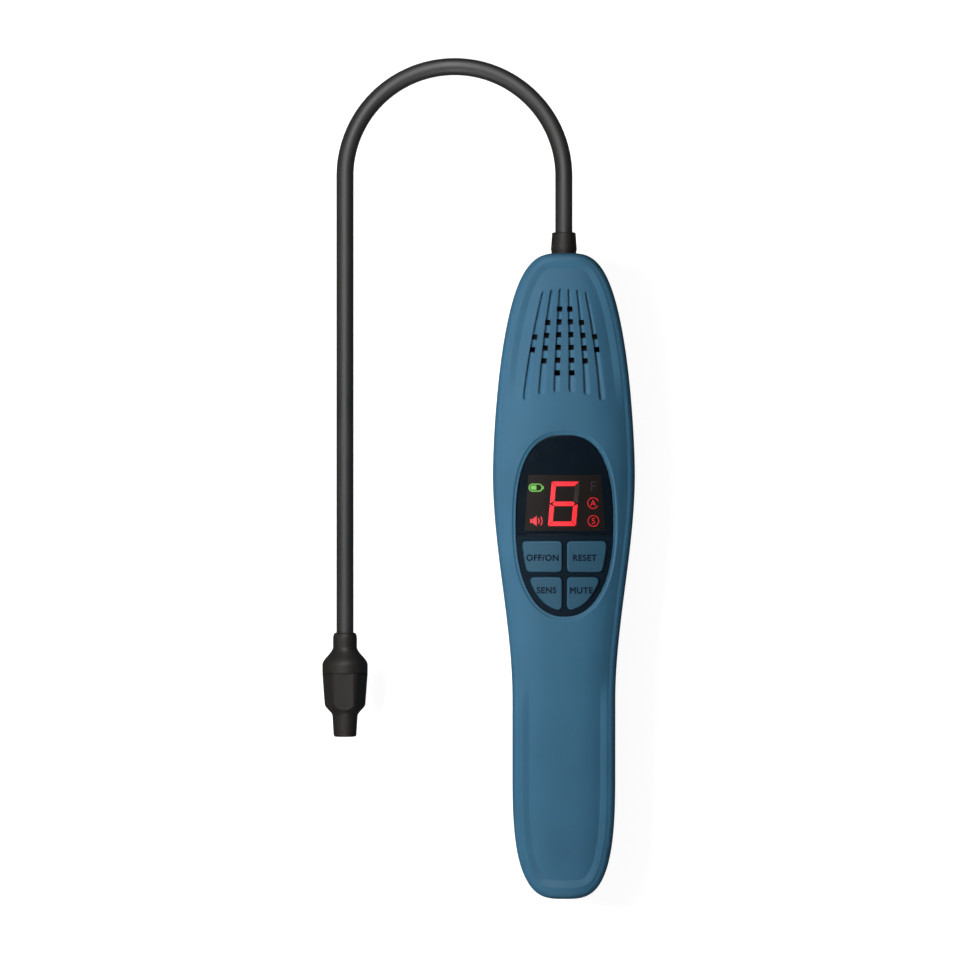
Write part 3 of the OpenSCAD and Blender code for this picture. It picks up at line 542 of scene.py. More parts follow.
def oval(grow, steps=144):
    """Oval of the panel, grown by a distance."""
    points = []
    for i in range(steps):
        a = 2 * math.pi * (i + 0.5) / steps
        c, s = math.cos(a), math.sin(a)
        n = PANEL_TOP_N if s >= 0 else PANEL_LOW_N
        points.append((
            (PANEL_W / 2 + grow) * math.copysign(abs(c) ** (2 / n), c),
            PANEL_Y + (PANEL_H / 2 + grow) * math.copysign(abs(s) ** (2 / n), s),
        ))
    return points


def clipped(poly, nx, ny, d):
    """The part of a convex outline where nx x + ny y is at most d."""
    kept = []
    for (ax, ay), (bx, by) in zip(poly, poly[1:] + poly[:1]):
        a, b = nx * ax + ny * ay - d, nx * bx + ny * by - d
        if a <= 0:
            kept.append((ax, ay))
        if (a < 0 < b) or (b < 0 < a):
            t = a / (a - b)
            kept.append((mix(ax, bx, t), mix(ay, by, t)))
    return kept


def edge_normals(poly):
    normals = []
    for (ax, ay), (bx, by) in zip(poly, poly[1:] + poly[:1]):
        length = math.hypot(bx - ax, by - ay)
        normals.append(((by - ay) / length, (ax - bx) / length))
    return normals


def tidy_outline(poly, least=1e-3):
    kept = []
    for p in poly:
        if not kept or math.dist(p, kept[-1]) > least:
            kept.append(p)
    while len(kept) > 2 and math.dist(kept[0], kept[-1]) <= least:
        kept.pop()
    return kept


def rounding(poly, radius):
    """Corners of a convex outline drawn in by a radius, each with the directions that round it."""
    poly = tidy_outline(poly)
    inner = poly
    for (x, y), (nx, ny) in zip(poly, edge_normals(poly)):
        inner = tidy_outline(clipped(inner, nx, ny, nx * x + ny * y - radius))
    normals = edge_normals(inner)
    spots = []
    for i, p in enumerate(inner):
        a = math.atan2(normals[i - 1][1], normals[i - 1][0])
        turn = (math.atan2(normals[i][1], normals[i][0]) - a) % (2 * math.pi)
        parts = max(1, math.ceil(turn / math.radians(9)))
        for k in range(parts + 1 if turn > math.radians(9) else 1):
            b = a + turn * (k / parts if parts > 1 else 0.5)
            spots.append((p, (math.cos(b), math.sin(b))))
    return spots


def rounded_ring(spots, radius, z):
    return [(p[0] + radius * d[0], p[1] + radius * d[1], z) for p, d in spots]


def crowned(piece, step=1.0):
    """Bends a flat piece over the crown of the panel."""
    bm = opened(piece)
    x = -PANEL_W / 2 + step / 2
    while x < PANEL_W / 2:
        geometry = list(bm.verts) + list(bm.edges) + list(bm.faces)
        bmesh.ops.bisect_plane(bm, geom=geometry, dist=2e-3, plane_co=(x, 0, 0), plane_no=(1, 0, 0))
        x += step
    bmesh.ops.remove_doubles(bm, verts=bm.verts, dist=1e-3)
    bmesh.ops.dissolve_degenerate(bm, edges=bm.edges, dist=1e-3)
    for v in bm.verts:
        v.co.z -= panel_crown(v.co.x)
    return shut(piece, bm)


def plate(name, spots, profile):
    """A flat plate through rings of a rounded outline, as (radius, z) from the foot up."""
    return chain(name, [rounded_ring(spots, r, z) for r, z in profile])


def quarter(radius, top, drop, steps=5):
    """Profile of a rounded edge that ends flat at the top."""
    return [(radius - drop * (1 - c), top - drop * (1 - s)) for c, s in quarter_turn(steps)]


# Finishes


def finish_nodes(name):
    finish = bpy.data.materials.new(name)
    finish.use_nodes = True
    tree = finish.node_tree
    shader = tree.nodes["Principled BSDF"]
    place = tree.nodes.new("ShaderNodeTexCoord")
    return finish, tree, shader, place.outputs["Object"]


def noise(tree, place, scale, detail=3.0, rough=0.55):
    node = tree.nodes.new("ShaderNodeTexNoise")
    node.inputs["Scale"].default_value = scale
    node.inputs["Detail"].default_value = detail
    node.inputs["Roughness"].default_value = rough
    tree.links.new(place, node.inputs["Vector"])
    return node.outputs["Fac"]


def spread(tree, value, low, high, to_low, to_high):
    node = tree.nodes.new("ShaderNodeMapRange")
    node.inputs["From Min"].default_value = low
    node.inputs["From Max"].default_value = high
    node.inputs["To Min"].default_value = to_low
    node.inputs["To Max"].default_value = to_high
    tree.links.new(value, node.inputs["Value"])
    return node.outputs["Result"]


def blend_colour(tree, share, first, second):
    node = tree.nodes.new("ShaderNodeMix")
    node.data_type = "RGBA"
    tree.links.new(share, node.inputs["Factor"])
    for socket, colour in ((node.inputs[6], first), (node.inputs[7], second)):
        if isinstance(colour, bpy.types.NodeSocket):
            tree.links.new(colour, socket)
        else:
            socket.default_value = (*colour, 1.0)
    return node.outputs[2]


def bump(tree, shader, height, strength, distance):
    node = tree.nodes.new("ShaderNodeBump")
    node.inputs["Strength"].default_value = strength
    node.inputs["Distance"].default_value = distance
    tree.links.new(height, node.inputs["Height"])
    tree.links.new(node.outputs["Normal"], shader.inputs["Normal"])


def shade(colour, amount):
    return tuple(min(1.0, c * amount) for c in colour)


def patchy(tree, value, colour, low, high):
    """A colour that drifts between two shares of itself with a noise."""
    share = spread(tree, value, NOISE_LOW, NOISE_HIGH, 0.0, 1.0)
    return blend_colour(tree, share, shade(colour, low), shade(colour, high))


def uneven_gloss(tree, shader, value, low, high):
    """Roughness that drifts between two values with a noise."""
    tree.links.new(spread(tree, value, NOISE_LOW, NOISE_HIGH, low, high), shader.inputs["Roughness"])


def moulded(name, colour, rough, grain=2600.0, grain_deep=0.00002, change=0.08, specular=0.5):
    """Moulded plastic: clouded colour, fine spark-eroded grain and uneven gloss."""
    finish, tree, shader, place = finish_nodes(name)
    cloud = noise(tree, place, 38.0, 4.0)
    tree.links.new(patchy(tree, cloud, colour, 1 - change, 1 + change), shader.inputs["Base Color"])
    uneven_gloss(tree, shader, noise(tree, place, 160.0, 3.0), rough - 0.05, rough + 0.06)
    shader.inputs["Specular IOR Level"].default_value = specular
    bump(tree, shader, noise(tree, place, grain, 2.0), 0.35, grain_deep)
    return finish


def metal(name, colour, rough, stretch):
    """Drawn or plated metal with fine lines along one axis."""
    finish, tree, shader, place = finish_nodes(name)
    lines = tree.nodes.new("ShaderNodeMapping")
    lines.inputs["Scale"].default_value = stretch
    tree.links.new(place, lines.inputs["Vector"])
    drawn = noise(tree, lines.outputs["Vector"], 900.0, 2.0)
    tree.links.new(patchy(tree, drawn, colour, 0.86, 1.08), shader.inputs["Base Color"])
    uneven_gloss(tree, shader, drawn, rough - 0.06, rough + 0.08)
    shader.inputs["Metallic"].default_value = 1.0
    bump(tree, shader, drawn, 0.2, 0.00002)
    return finish


def smoked(name, colour):
    """Polished smoked plastic over the display."""
    finish, tree, shader, place = finish_nodes(name)
    cloud = noise(tree, place, 45.0, 2.0)
    tree.links.new(patchy(tree, cloud, colour, 0.9, 1.12), shader.inputs["Base Color"])
    haze = noise(tree, place, 320.0, 3.0)
    tree.links.new(spread(tree, haze, 0.3, 0.75, 0.10, 0.17), shader.inputs["Roughness"])
    shader.inputs["Specular IOR Level"].default_value = 0.3
    return finish


def lit(name, colour, strength):
    """A lit sign that glows a little unevenly."""
    finish, tree, shader, place = finish_nodes(name)
    cells = noise(tree, place, 420.0, 2.0)
    glow = patchy(tree, cells, colour, 0.86, 1.1)
    tree.links.new(glow, shader.inputs["Base Color"])
    tree.links.new(glow, shader.inputs["Emission Color"])
    shader.inputs["Emission Strength"].default_value = strength
    shader.inputs["Roughness"].default_value = 0.35
    return finish


def screen_finish(colour):
    """Unlit screen: fine dot lattice in brown black."""
    finish, tree, shader, place = finish_nodes("screen_brown")
    dots = tree.nodes.new("ShaderNodeTexVoronoi")
    dots.inputs["Scale"].default_value = 2400.0
    dots.inputs["Randomness"].default_value = 0.0
    tree.links.new(place, dots.inputs["Vector"])
    lattice = spread(tree, dots.outputs["Distance"], 0.1, 0.5, 0.0, 1.0)
    cloud = noise(tree, place, 90.0, 3.0)
    base = blend_colour(tree, cloud, shade(colour, 0.75), shade(colour, 1.25))
    tree.links.new(blend_colour(tree, lattice, base, shade(colour, 0.8)), shader.inputs["Base Color"])
    shader.inputs["Roughness"].default_value = 0.22
    shader.inputs["Specular IOR Level"].default_value = 0.25
    return finish


def sleeve_finish(colour):
    """Satin rubber sleeve, with dust in its pores."""
    finish, tree, shader, place = finish_nodes("sleeve_black")
    cloud = noise(tree, place, 60.0, 4.0)
    pores = noise(tree, place, 2200.0, 2.0)
    base = patchy(tree, cloud, colour, 0.86, 1.16)
    tree.links.new(
        blend_colour(tree, spread(tree, pores, 0.6, 0.8, 0.0, 0.35), base, shade(colour, 1.7)),
        shader.inputs["Base Color"])
    uneven_gloss(tree, shader, cloud, 0.48, 0.58)
    shader.inputs["Specular IOR Level"].default_value = 0.8
    bump(tree, shader, pores, 0.3, 0.00002)
    return finish


def felt_finish(colour):
    """Pressed felt of short fibres."""
    finish, tree, shader, place = finish_nodes("felt_pale")
    fibres = noise(tree, place, 3800.0, 5.0, 0.75)
    tree.links.new(patchy(tree, fibres, colour, 0.72, 1.0), shader.inputs["Base Color"])
    shader.inputs["Roughness"].default_value = 0.95
    bump(tree, shader, fibres, 0.8, 0.0001)
    return finish


def jacket_finish(name, band_y):
    """Foil jacket of a cell: dark sleeve with a copper band at its plus end."""
    finish, tree, shader, place = finish_nodes(name)
    drawn = noise(tree, place, 700.0, 2.0)
    dark = patchy(tree, drawn, (0.0375, 0.040, 0.045), 0.8, 1.2)
    bands = tree.nodes.new("ShaderNodeTexWave")
    bands.wave_type, bands.bands_direction = "BANDS", "Y"
    bands.inputs["Scale"].default_value = 2 * math.pi / (WAVE_RATE * CELL_L * MM)
    phase = math.pi * (1 - 2 * (band_y - PANEL_Y) / CELL_L)
    bands.inputs["Phase Offset"].default_value = phase % (2 * math.pi)
    tree.links.new(place, bands.inputs["Vector"])
    share = spread(tree, bands.outputs["Fac"], 0.80, 0.82, 0.0, 1.0)
    tree.links.new(blend_colour(tree, share, dark, (0.50, 0.25, 0.10)), shader.inputs["Base Color"])
    uneven_gloss(tree, shader, drawn, 0.24, 0.34)
    shader.inputs["Metallic"].default_value = 0.6
    return finish


def board_finish():
    """Solder mask over a hatch of traces."""
    finish, tree, shader, place = finish_nodes("board_green")
    traces = tree.nodes.new("ShaderNodeTexBrick")
    traces.inputs["Scale"].default_value = 260.0
    traces.inputs["Mortar Size"].default_value = 0.03
    traces.inputs["Color1"].default_value = (0.010, 0.085, 0.036, 1.0)
    traces.inputs["Color2"].default_value = (0.012, 0.100, 0.042, 1.0)
    traces.inputs["Mortar"].default_value = (0.020, 0.150, 0.060, 1.0)
    tree.links.new(place, traces.inputs["Vector"])
    tree.links.new(traces.outputs["Color"], shader.inputs["Base Color"])
    uneven_gloss(tree, shader, noise(tree, place, 500.0), 0.30, 0.42)
    return finish


FINISHES = {}


def finish_for(name):
    """A finish by name, made once."""
    if name not in FINISHES:
        c = colours()
        makers = {
            "body": lambda: moulded("body_blue", c.body, 0.50, specular=0.14),
            "key": lambda: moulded("key_blue", c.key, 0.46, change=0.06, specular=0.15),
            "bezel": lambda: moulded("bezel_navy", c.bezel, 0.5, change=0.12, specular=0.05),
            "window": lambda: smoked("window_smoke", c.window),
            "screen": lambda: screen_finish(c.screen),
            "segment": lambda: lit("segment_red", c.segment, 0.5),
            "sign": lambda: lit("sign_red", shade(c.segment, 0.62), 0.4),
            "ghost": lambda: moulded("segment_unlit", (0.021, 0.0155, 0.0135), 0.3, change=0.1),
            "charge": lambda: lit("charge_green", c.charge, 0.35),
            "legend": lambda: moulded("legend_ink", c.legend, 0.6, change=0.1, specular=0.05),
            "neck": lambda: sleeve_finish(c.neck),
            "tip": lambda: moulded("tip_black", c.tip, 0.52, grain=1500.0, change=0.12, specular=0.32),
            "screw": lambda: metal("screw_zinc", (0.52, 0.52, 0.50), 0.36, (1.0, 1.0, 8.0)),
            "contact": lambda: metal("contact_nickel", (0.62, 0.60, 0.55), 0.28, (1.0, 6.0, 1.0)),
            "sensor": lambda: metal("sensor_can", (0.62, 0.61, 0.58), 0.30, (1.0, 0.2, 1.0)),
            "brass": lambda: metal("anchor_brass", (0.60, 0.42, 0.14), 0.30, (1.0, 8.0, 1.0)),
            "cell": lambda: jacket_finish("cell_jacket", CELL_BAND_Y),
            "cell_turned": lambda: jacket_finish("cell_jacket_turned", CELL_TURNED_BAND_Y),
            "board": board_finish,
            "inner_black": lambda: moulded(
                "inner_black", (0.008, 0.008, 0.009), 0.6, change=0.15, specular=0.1),
            "lead": lambda: moulded("lead_red", (0.25, 0.018, 0.012), 0.45, change=0.1),
            "connector": lambda: moulded("connector_natural", (0.66, 0.63, 0.55), 0.45),
            "felt": lambda: felt_finish((0.66, 0.64, 0.58)),
        }
        FINISHES[name] = makers[name]()
    return FINISHES[name]


# Shells


def front_solid(edge):
    """Front shell as a closed skin, before its cuts."""
    chamfer = sizes().parting
    rings = [layer(edge, chamfer, REAR_D + PARTING_GAP, 0, 0), layer(edge, 0, REAR_D + chamfer, 0, 0)]
    rings += [layer(edge, inset, REAR_D + up, share, share) for inset, up, share in SIDE_ROWS]
    for c, s in quarter_turn(8):
        rings.append(layer(edge, CREST_IN - FRONT_R * c, BODY_D - FRONT_R * (1 - s), 1, 1))
    for t, rise in RIM_PROFILE:
        rings.append(layer(edge, CREST_IN + RIM_LIP + RIM_WALL * t, BODY_D, 1, rise, RIM_HEEL))
    rings += lid(rings[-1], 12, front_z)
    roof = layer(edge, WALL + DRAFT + INNER_SOFT, BODY_D - WALL, 1, 0)
    inside = list(reversed(lid(roof, 6, lambda x, y: front_z(x, y) - WALL)))
    inside += [
        roof,
        layer(edge, WALL + DRAFT, BODY_D - WALL - INNER_SOFT, 1, 0),
        layer(edge, WALL, REAR_D + PARTING_GAP, 0, 0),
    ]
    return chain("front_shell_skin", inside + rings, low_cap=False, high_cap=False)


def rear_rings(edge):
    """Outside of the rear shell, from its flat back to the parting line."""
    chamfer = sizes().parting
    flat = layer(edge, DRAFT + BACK_R, 0, 0, 0)
    rings = list(reversed(lid(flat, 6, lambda x, y: 0.0)))
    for c, s in quarter_turn(8):
        rings.append(layer(edge, DRAFT + BACK_R * (1 - s), BACK_R * (1 - c), 0, 0))
    rings += [
        layer(edge, 0, REAR_D - chamfer, 0, 0),
        layer(edge, chamfer, REAR_D - PARTING_GAP, 0, 0),
    ]
    return rings


def rear_solid(edge):
    """Rear shell as a closed skin, before its cuts."""
    rings = rear_rings(edge)
    floor = layer(edge, WALL + DRAFT + INNER_SOFT, WALL, 0, 0)
    rings += [
        layer(edge, WALL, REAR_D - PARTING_GAP, 0, 0),
        layer(edge, WALL + DRAFT, WALL + INNER_SOFT, 0, 0),
        floor,
    ]
    rings += lid(floor, 4, lambda x, y: WALL)
    return chain("rear_shell_skin", rings, low_cap=False, high_cap=False)


def panel_tool():
    """What is cut from the front for the panel: opening, pocket and soft edge."""
    wide = sizes().soft_edge
    rings = []

    def ring(grow, height):
        rings.append([(x, y, height(x, y)) for x, y in oval(grow)])

    def foot(x, y):
        return PANEL_FOOT_Z - panel_crown(x)

    ring(-LEDGE_W, lambda x, y: REAR_D + 4)
    ring(-LEDGE_W, foot)
    ring(0.0, foot)
    for share, deep in SOFT_PROFILE:
        ring(wide * share, lambda x, y, d=deep: front_z(x, y) - d)
    ring(wide * SOFT_PROFILE[-1][0], lambda x, y: BODY_D + 3)
    return chain("panel_tool", rings)


def groove_spot(c, t):
    """Middle of a groove at a share of its length from the nose end."""
    pitch = mix(GROOVE_TOP_PITCH, GROOVE_LOW_PITCH, t) + GROOVE_SWAY * 4 * t * (1 - t)
    y = mix(GRILLE_TOP_Y - GROOVE_TOP_BOW * c * c, GRILLE_LOW_Y - GROOVE_LOW_BOW * c * c, t)
    return Vector((c * pitch, y))


def groove_side(c, t):
    """Direction across a groove, towards +X."""
    along = (groove_spot(c, t - 0.01) - groove_spot(c, t + 0.01)).normalized()
    return Vector((along.y, -along.x))


def groove_tool(c):
    """A groove with a steep left wall and a floor that rises to the right."""
    s = sizes()
    stops = [(k / 30, 1.0) for k in range(30)]
    end = s.groove_top / 2 / GROOVE_L
    head = [(-end * math.cos(a), math.sin(a)) for a in GROOVE_HEAD]
    rings = []
    for t, narrow in (*head, *stops, *GROOVE_FOOT):
        wide = mix(s.groove_top, s.groove_foot, max(0.0, t)) * narrow
        spot, side = groove_spot(c, t), groove_side(c, t)
        ring = []
        for u, d in GROOVE_SECTION:
            flat = min(s.groove_flat, wide / 2) if u else 0.0
            p = spot + side * (flat + u * (wide - flat) - wide / 2)
            deep = s.groove_deep * min(1.0, 0.35 + 0.8 * narrow)
            ring.append((p.x, p.y, front_z(p.x, p.y) - (deep * d if d > 0 else d)))
        rings.append(ring)
    return chain("groove_tool", rings)


def hole_tool(c, row):
    """A square hole in a row, in line with its groove."""
    y = GRILLE_TOP_Y - HOLE_FIRST - row * HOLE_PITCH - HOLE_BOW * c * c
    high, low = groove_spot(c, 0).y, groove_spot(c, 1).y
    t = (high - y) / (high - low)
    spot, side = groove_spot(c, t), groove_side(c, t)
    along = Vector((-side.y, side.x))
    half = sizes().hole_wide / 2
    z = front_z(spot.x, spot.y)
    rings = []
    for height in (z - 4.0, z + 1.2):
        corners = ((-half, -half), (half, -half), (half, half), (-half, half))
        rings.append([(*(spot + side * u + along * v), height) for u, v in corners])
    return chain("hole_tool", rings)


def grille_holes():
    holes = []
    for row, count in enumerate(HOLE_ROWS):
        for k in range(GROOVE_COUNT):
            if abs(k - GROOVE_MID) < count / 2:
                holes.append(hole_tool(k - GROOVE_MID, row))
    return joined("hole_tools", holes)


def bore_tool():
    """Bore for the collar through the nose."""
    r = COLLAR_D / 2 + COLLAR_PLAY
    return along_neck(turned("bore_tool", [(0.0, -6.0), (r, -6.0), (r, 2.0), (0.0, 2.0)], 48))


class DETECTOR_OT_front_shell(bpy.types.Operator):
    """Front shell with its rim, crown, panel pocket and fan of grille grooves"""

    bl_idname = "detector.front_shell"
    bl_label = "Front shell"

    def execute(self, context):
        shell = front_solid(outline())
        carve(shell, panel_tool())
        carve(shell, joined("groove_tools", [groove_tool(k - GROOVE_MID) for k in range(GROOVE_COUNT)]))
        carve(shell, grille_holes())
        carve(shell, bore_tool())
        split_wide_faces(shell)
        finish_piece(shell, "housing", finish_for("body"), ["front_shell"], sharp=32)
        return {"FINISHED"}


def screw_tool(x, y):
    """Well for a screw, with a chamfer at the back."""
    well, hole, top = SCREW_HEAD_D / 2 + WELL_PLAY, SCREW_D / 2 + WELL_PLAY, REAR_D + 2.0
    mouth = well + 0.4
    tool = turned("screw_tool", [
        (0.0, -2.0), (mouth, -2.0), (mouth, 0.0), (well, 0.4), (well, SCREW_SEAT_Z), (hole, SCREW_SEAT_Z),
        (hole, top), (0.0, top)], 40)
    return moved(tool, Matrix.Translation((x, y, 0)))


def rear_post(x, y):
    r, top = POST_D / 2, REAR_D - PARTING_GAP
    post = turned("rear_post", [(0.0, 1.0), (r, 1.0), (r, top), (0.0, top)], 40)
    return moved(post, Matrix.Translation((x, y, 0)))


def both_sides(spots):
    return [(side * x, y) for x, y in spots for side in (-1, 1)]


class DETECTOR_OT_rear_shell(bpy.types.Operator):
    """Rear shell with its battery box, door opening and screw wells"""

    bl_idname = "detector.rear_shell"
    bl_label = "Rear shell"

    def execute(self, context):
        shell = rear_solid(outline())
        low_y, high_y = BOX_LOW_Y - BOX_WALL, BOX_HIGH_Y + BOX_WALL
        half = BOX_HALF + BOX_WALL
        carve(shell, block("box_tool", (-half, low_y, 1.0), (half, high_y, BOX_TOP_Z + BOX_WALL)), "UNION")
        for x, y in both_sides(SCREW_SPOTS):
            carve(shell, rear_post(x, y), "UNION")
        slot = DOOR_HALF + 0.3
        carve(shell, block(
            "room_tool", (-BOX_HALF, BOX_LOW_Y, ROOM_LOW_Z), (BOX_HALF, BOX_HIGH_Y, BOX_TOP_Z)))
        carve(shell, block("slot_tool", (-slot, -1.0, -1.0), (slot, BOX_HIGH_Y, SLOT_HIGH_Z)))
        carve(shell, block(
            "runner_tool", (-BOX_HALF, -1.1, ROOM_LOW_Z), (BOX_HALF, BOX_HIGH_Y, RUNNER_ROOM_Z)))
        carve(shell, joined("screw_tools", [screw_tool(x, y) for x, y in both_sides(SCREW_SPOTS)]))
        carve(shell, bore_tool())
        finish_piece(shell, "housing", finish_for("body"), ["rear_shell"], sharp=32)
        return {"FINISHED"}


class DETECTOR_OT_battery_door(bpy.types.Operator):
    """Battery door with its runners and thumb grooves"""

    bl_idname = "detector.battery_door"
    bl_label = "Battery door"

    def execute(self, context):
        door = chain("battery_door_skin", rear_rings(outline()), low_cap=False)
        panel = block("panel_tool", (-DOOR_HALF, -1.0, DOOR_Z), (DOOR_HALF, DOOR_HIGH_Y, RUNNER_Z + 0.1))
        carve(panel, block(
            "runner_tool", (-DOOR_HALF - RUNNER_W, -1.1, RUNNER_Z),
            (DOOR_HALF + RUNNER_W, DOOR_HIGH_Y, RUNNER_Z + RUNNER_T)), "UNION")
        carve(door, panel, "INTERSECT")
        grooves = []
        for k in range(THUMB_COUNT):
            y = DOOR_HIGH_Y - THUMB_FIRST - k * THUMB_PITCH
            rings = []
            for x, narrow in THUMB_ENDS:
                wide, deep = THUMB_HALF * narrow, THUMB_DEEP * narrow
                rings.append([(x, y + wide * c, DOOR_Z + deep * s) for c, s in full_turn(16)])
            grooves.append(chain("thumb_tool", rings))
        carve(door, joined("thumb_tools", grooves))
        finish_piece(door, "door", finish_for("body"), ["battery_door"], sharp=32)
        return {"FINISHED"}


class DETECTOR_OT_shell_screws(bpy.types.Operator):
    """Four pan-head screws with a cross recess, down their wells"""

    bl_idname = "detector.shell_screws"
    bl_label = "Shell screws"

    def execute(self, context):
        screws = []
        for x, y in both_sides(SCREW_SPOTS):
            r, head = SCREW_HEAD_D / 2, SCREW_HEAD_H
            profile = [(0.0, -head), (r * 0.55, -head), (r * 0.8, -head + 0.18), (r * 0.95, -head + 0.55),
                       (r, -head + 1.0), (r, 0.0), (SCREW_D / 2, 0.0)]
            crest, root = SCREW_D / 2, SCREW_D / 2 - THREAD_DEEP
            for k in range(int(SCREW_L / THREAD_PITCH)):
                z = 0.4 + k * THREAD_PITCH
                profile += [(root, z), (crest, z + 0.4), (root, z + 0.75)]
            profile += [(0.4, SCREW_L - 0.1), (0.0, SCREW_L)]
            screw = turned("screw", profile, 36)
            for x_half, y_half in ((CROSS_HALF_L, CROSS_HALF_W), (CROSS_HALF_W, CROSS_HALF_L)):
                carve(screw, block(
                    "cross_tool", (-x_half, -y_half, -head - 1.0), (x_half, y_half, -head + CROSS_DEEP)))
            screws.append(moved(screw, Matrix.Translation((x, y, SCREW_SEAT_Z))))
        whole = joined("shell_screws_cross", screws)
        finish_piece(whole, "housing", finish_for("screw"), ["shell_screws"], sharp=35)
        return {"FINISHED"}


# Panel, keys and display


def key_spots(column, row):
    """Rounded outline of a key: column is -1 or 1, row is 0 for the upper keys and 1 for the lower."""
    high = KEY_TOP_Y if row == 0 else KEY_MID_Y - KEY_GAP / 2
    low = KEY_MID_Y + KEY_GAP / 2 if row == 0 else PANEL_Y - PANEL_H
    poly = clipped(oval(-KEY_RIM), 0, 1, high)
    poly = clipped(poly, 0, -1, -low)
    poly = clipped(poly, -column, 0, -KEY_GAP / 2)
    return rounding(poly, KEY_R)


class DETECTOR_OT_panel(bpy.types.Operator):
    """Smoked window and navy key bezel, crowned like the front"""

    bl_idname = "detector.panel"
    bl_label = "Panel"

    def execute(self, context):
        whole = oval(-REST_GAP)
        profile = [(PANEL_CORNER, PANEL_FOOT_Z)] + quarter(PANEL_CORNER, PANEL_TOP_Z, PANEL_EDGE)
        window = rounding(clipped(whole, 0, -1, -(SEAM_Y + SEAM_GAP)), PANEL_CORNER)
        piece = crowned(plate("display_window_lens", window, profile))
        finish_piece(piece, "housing", finish_for("window"), ["display_window"], sharp=50)
        bezel = rounding(clipped(whole, 0, 1, SEAM_Y - SEAM_GAP), PANEL_CORNER)
        piece = plate("key_bezel_frame", bezel, profile)
        for column in (-1, 1):
            for row in (0, 1):
                spots = key_spots(column, row)
                ends = (PANEL_FOOT_Z - 1, BODY_D + 1)
                carve(piece, chain("key_tool", [rounded_ring(spots, KEY_R + KEY_PLAY, z) for z in ends]))
        crowned(piece)
        finish_piece(piece, "housing", finish_for("bezel"), ["key_bezel"], sharp=50)
        return {"FINISHED"}


def embolden(bm, grow):
    """Pushes the outlines of flat marks out by a distance, notches in full and sharp tips less."""
    arriving, leaving = {}, {}
    for e in bm.edges:
        if len(e.link_faces) == 1:
            loop = e.link_loops[0]
            tip = loop.link_loop_next.vert
            along = tip.co - loop.vert.co
            leaving[loop.vert] = arriving[tip] = Vector((along.y, -along.x, 0)).normalized()
    for v, first in arriving.items():
        second = leaving.get(v)
        if second is None or sum(e.is_boundary for e in v.link_edges) != 2:
            continue
        middle = first + second
        notch = first.x * second.y < first.y * second.x
        if middle.length > 0.3:
            v.co += middle.normalized() * min(4 * grow if notch else 1.6 * grow, grow * 2 / middle.length)


def inlay(name, outlines, z, deep, body, finish, bold=0.0):
    """Thin raised marks on the crowned panel, from flat outlines."""
    bm = bmesh.new()
    for poly in outlines:
        bm.faces.new([bm.verts.new((x, y, z)) for x, y in poly])
    bmesh.ops.remove_doubles(bm, verts=bm.verts, dist=1e-4)
    for f in bm.faces:
        f.normal_update()
        if f.normal.z < 0:
            f.normal_flip()
    if bold:
        bmesh.ops.dissolve_limit(bm, angle_limit=0.01, verts=bm.verts, edges=bm.edges)
        bmesh.ops.remove_doubles(bm, verts=bm.verts, dist=0.7 * bold)
        embolden(bm, bold)
        bmesh.ops.triangulate(bm, faces=bm.faces)
    sheet = bmesh.ops.extrude_face_region(bm, geom=list(bm.faces))
    for v in (g for g in sheet["geom"] if isinstance(g, bmesh.types.BMVert)):
        v.co.z -= deep
    bmesh.ops.recalc_face_normals(bm, faces=bm.faces)
    piece = crowned(piece_from(name, bm), 0.7)
    return finish_piece(piece, body, finish, sharp=30)


def lettering(text, height, spot):
    """Flat outlines of a line of capitals, centred on a spot."""
    curve = bpy.data.curves.new("lettering", "FONT")
    curve.body = text
    curve.align_x, curve.align_y = "CENTER", "CENTER"
    curve.size = 1.0
    curve.space_character = LEGEND_SPACE
    curve.resolution_u = 4
    writer = linked("lettering", curve)
    bpy.context.view_layer.update()
    mesh = bpy.data.meshes.new_from_object(writer.evaluated_get(bpy.context.evaluated_depsgraph_get()))
    xs = [v.co.x for v in mesh.vertices]
    ys = [v.co.y for v in mesh.vertices]
    scale = height / (max(ys) - min(ys))
    mx, my = (max(xs) + min(xs)) / 2, (max(ys) + min(ys)) / 2
    outlines = []
    for face in mesh.polygons:
        outlines.append([
            (spot[0] + (mesh.vertices[i].co.x - mx) * scale, spot[1] + (mesh.vertices[i].co.y - my) * scale)
            for i in face.vertices])
    bpy.data.objects.remove(writer)
    bpy.data.curves.remove(curve)
    bpy.data.meshes.remove(mesh)
    return outlines


KEYS = (
    ("power", -1, 0, "OFF/ON", (-7.7, 118.95)),
    ("reset", 1, 0, "RESET", (7.0, 118.95)),
    ("sens", -1, 1, "SENS", (-6.3, 107.7)),
    ("mute", 1, 1, "MUTE", (5.8, 107.6)),
)


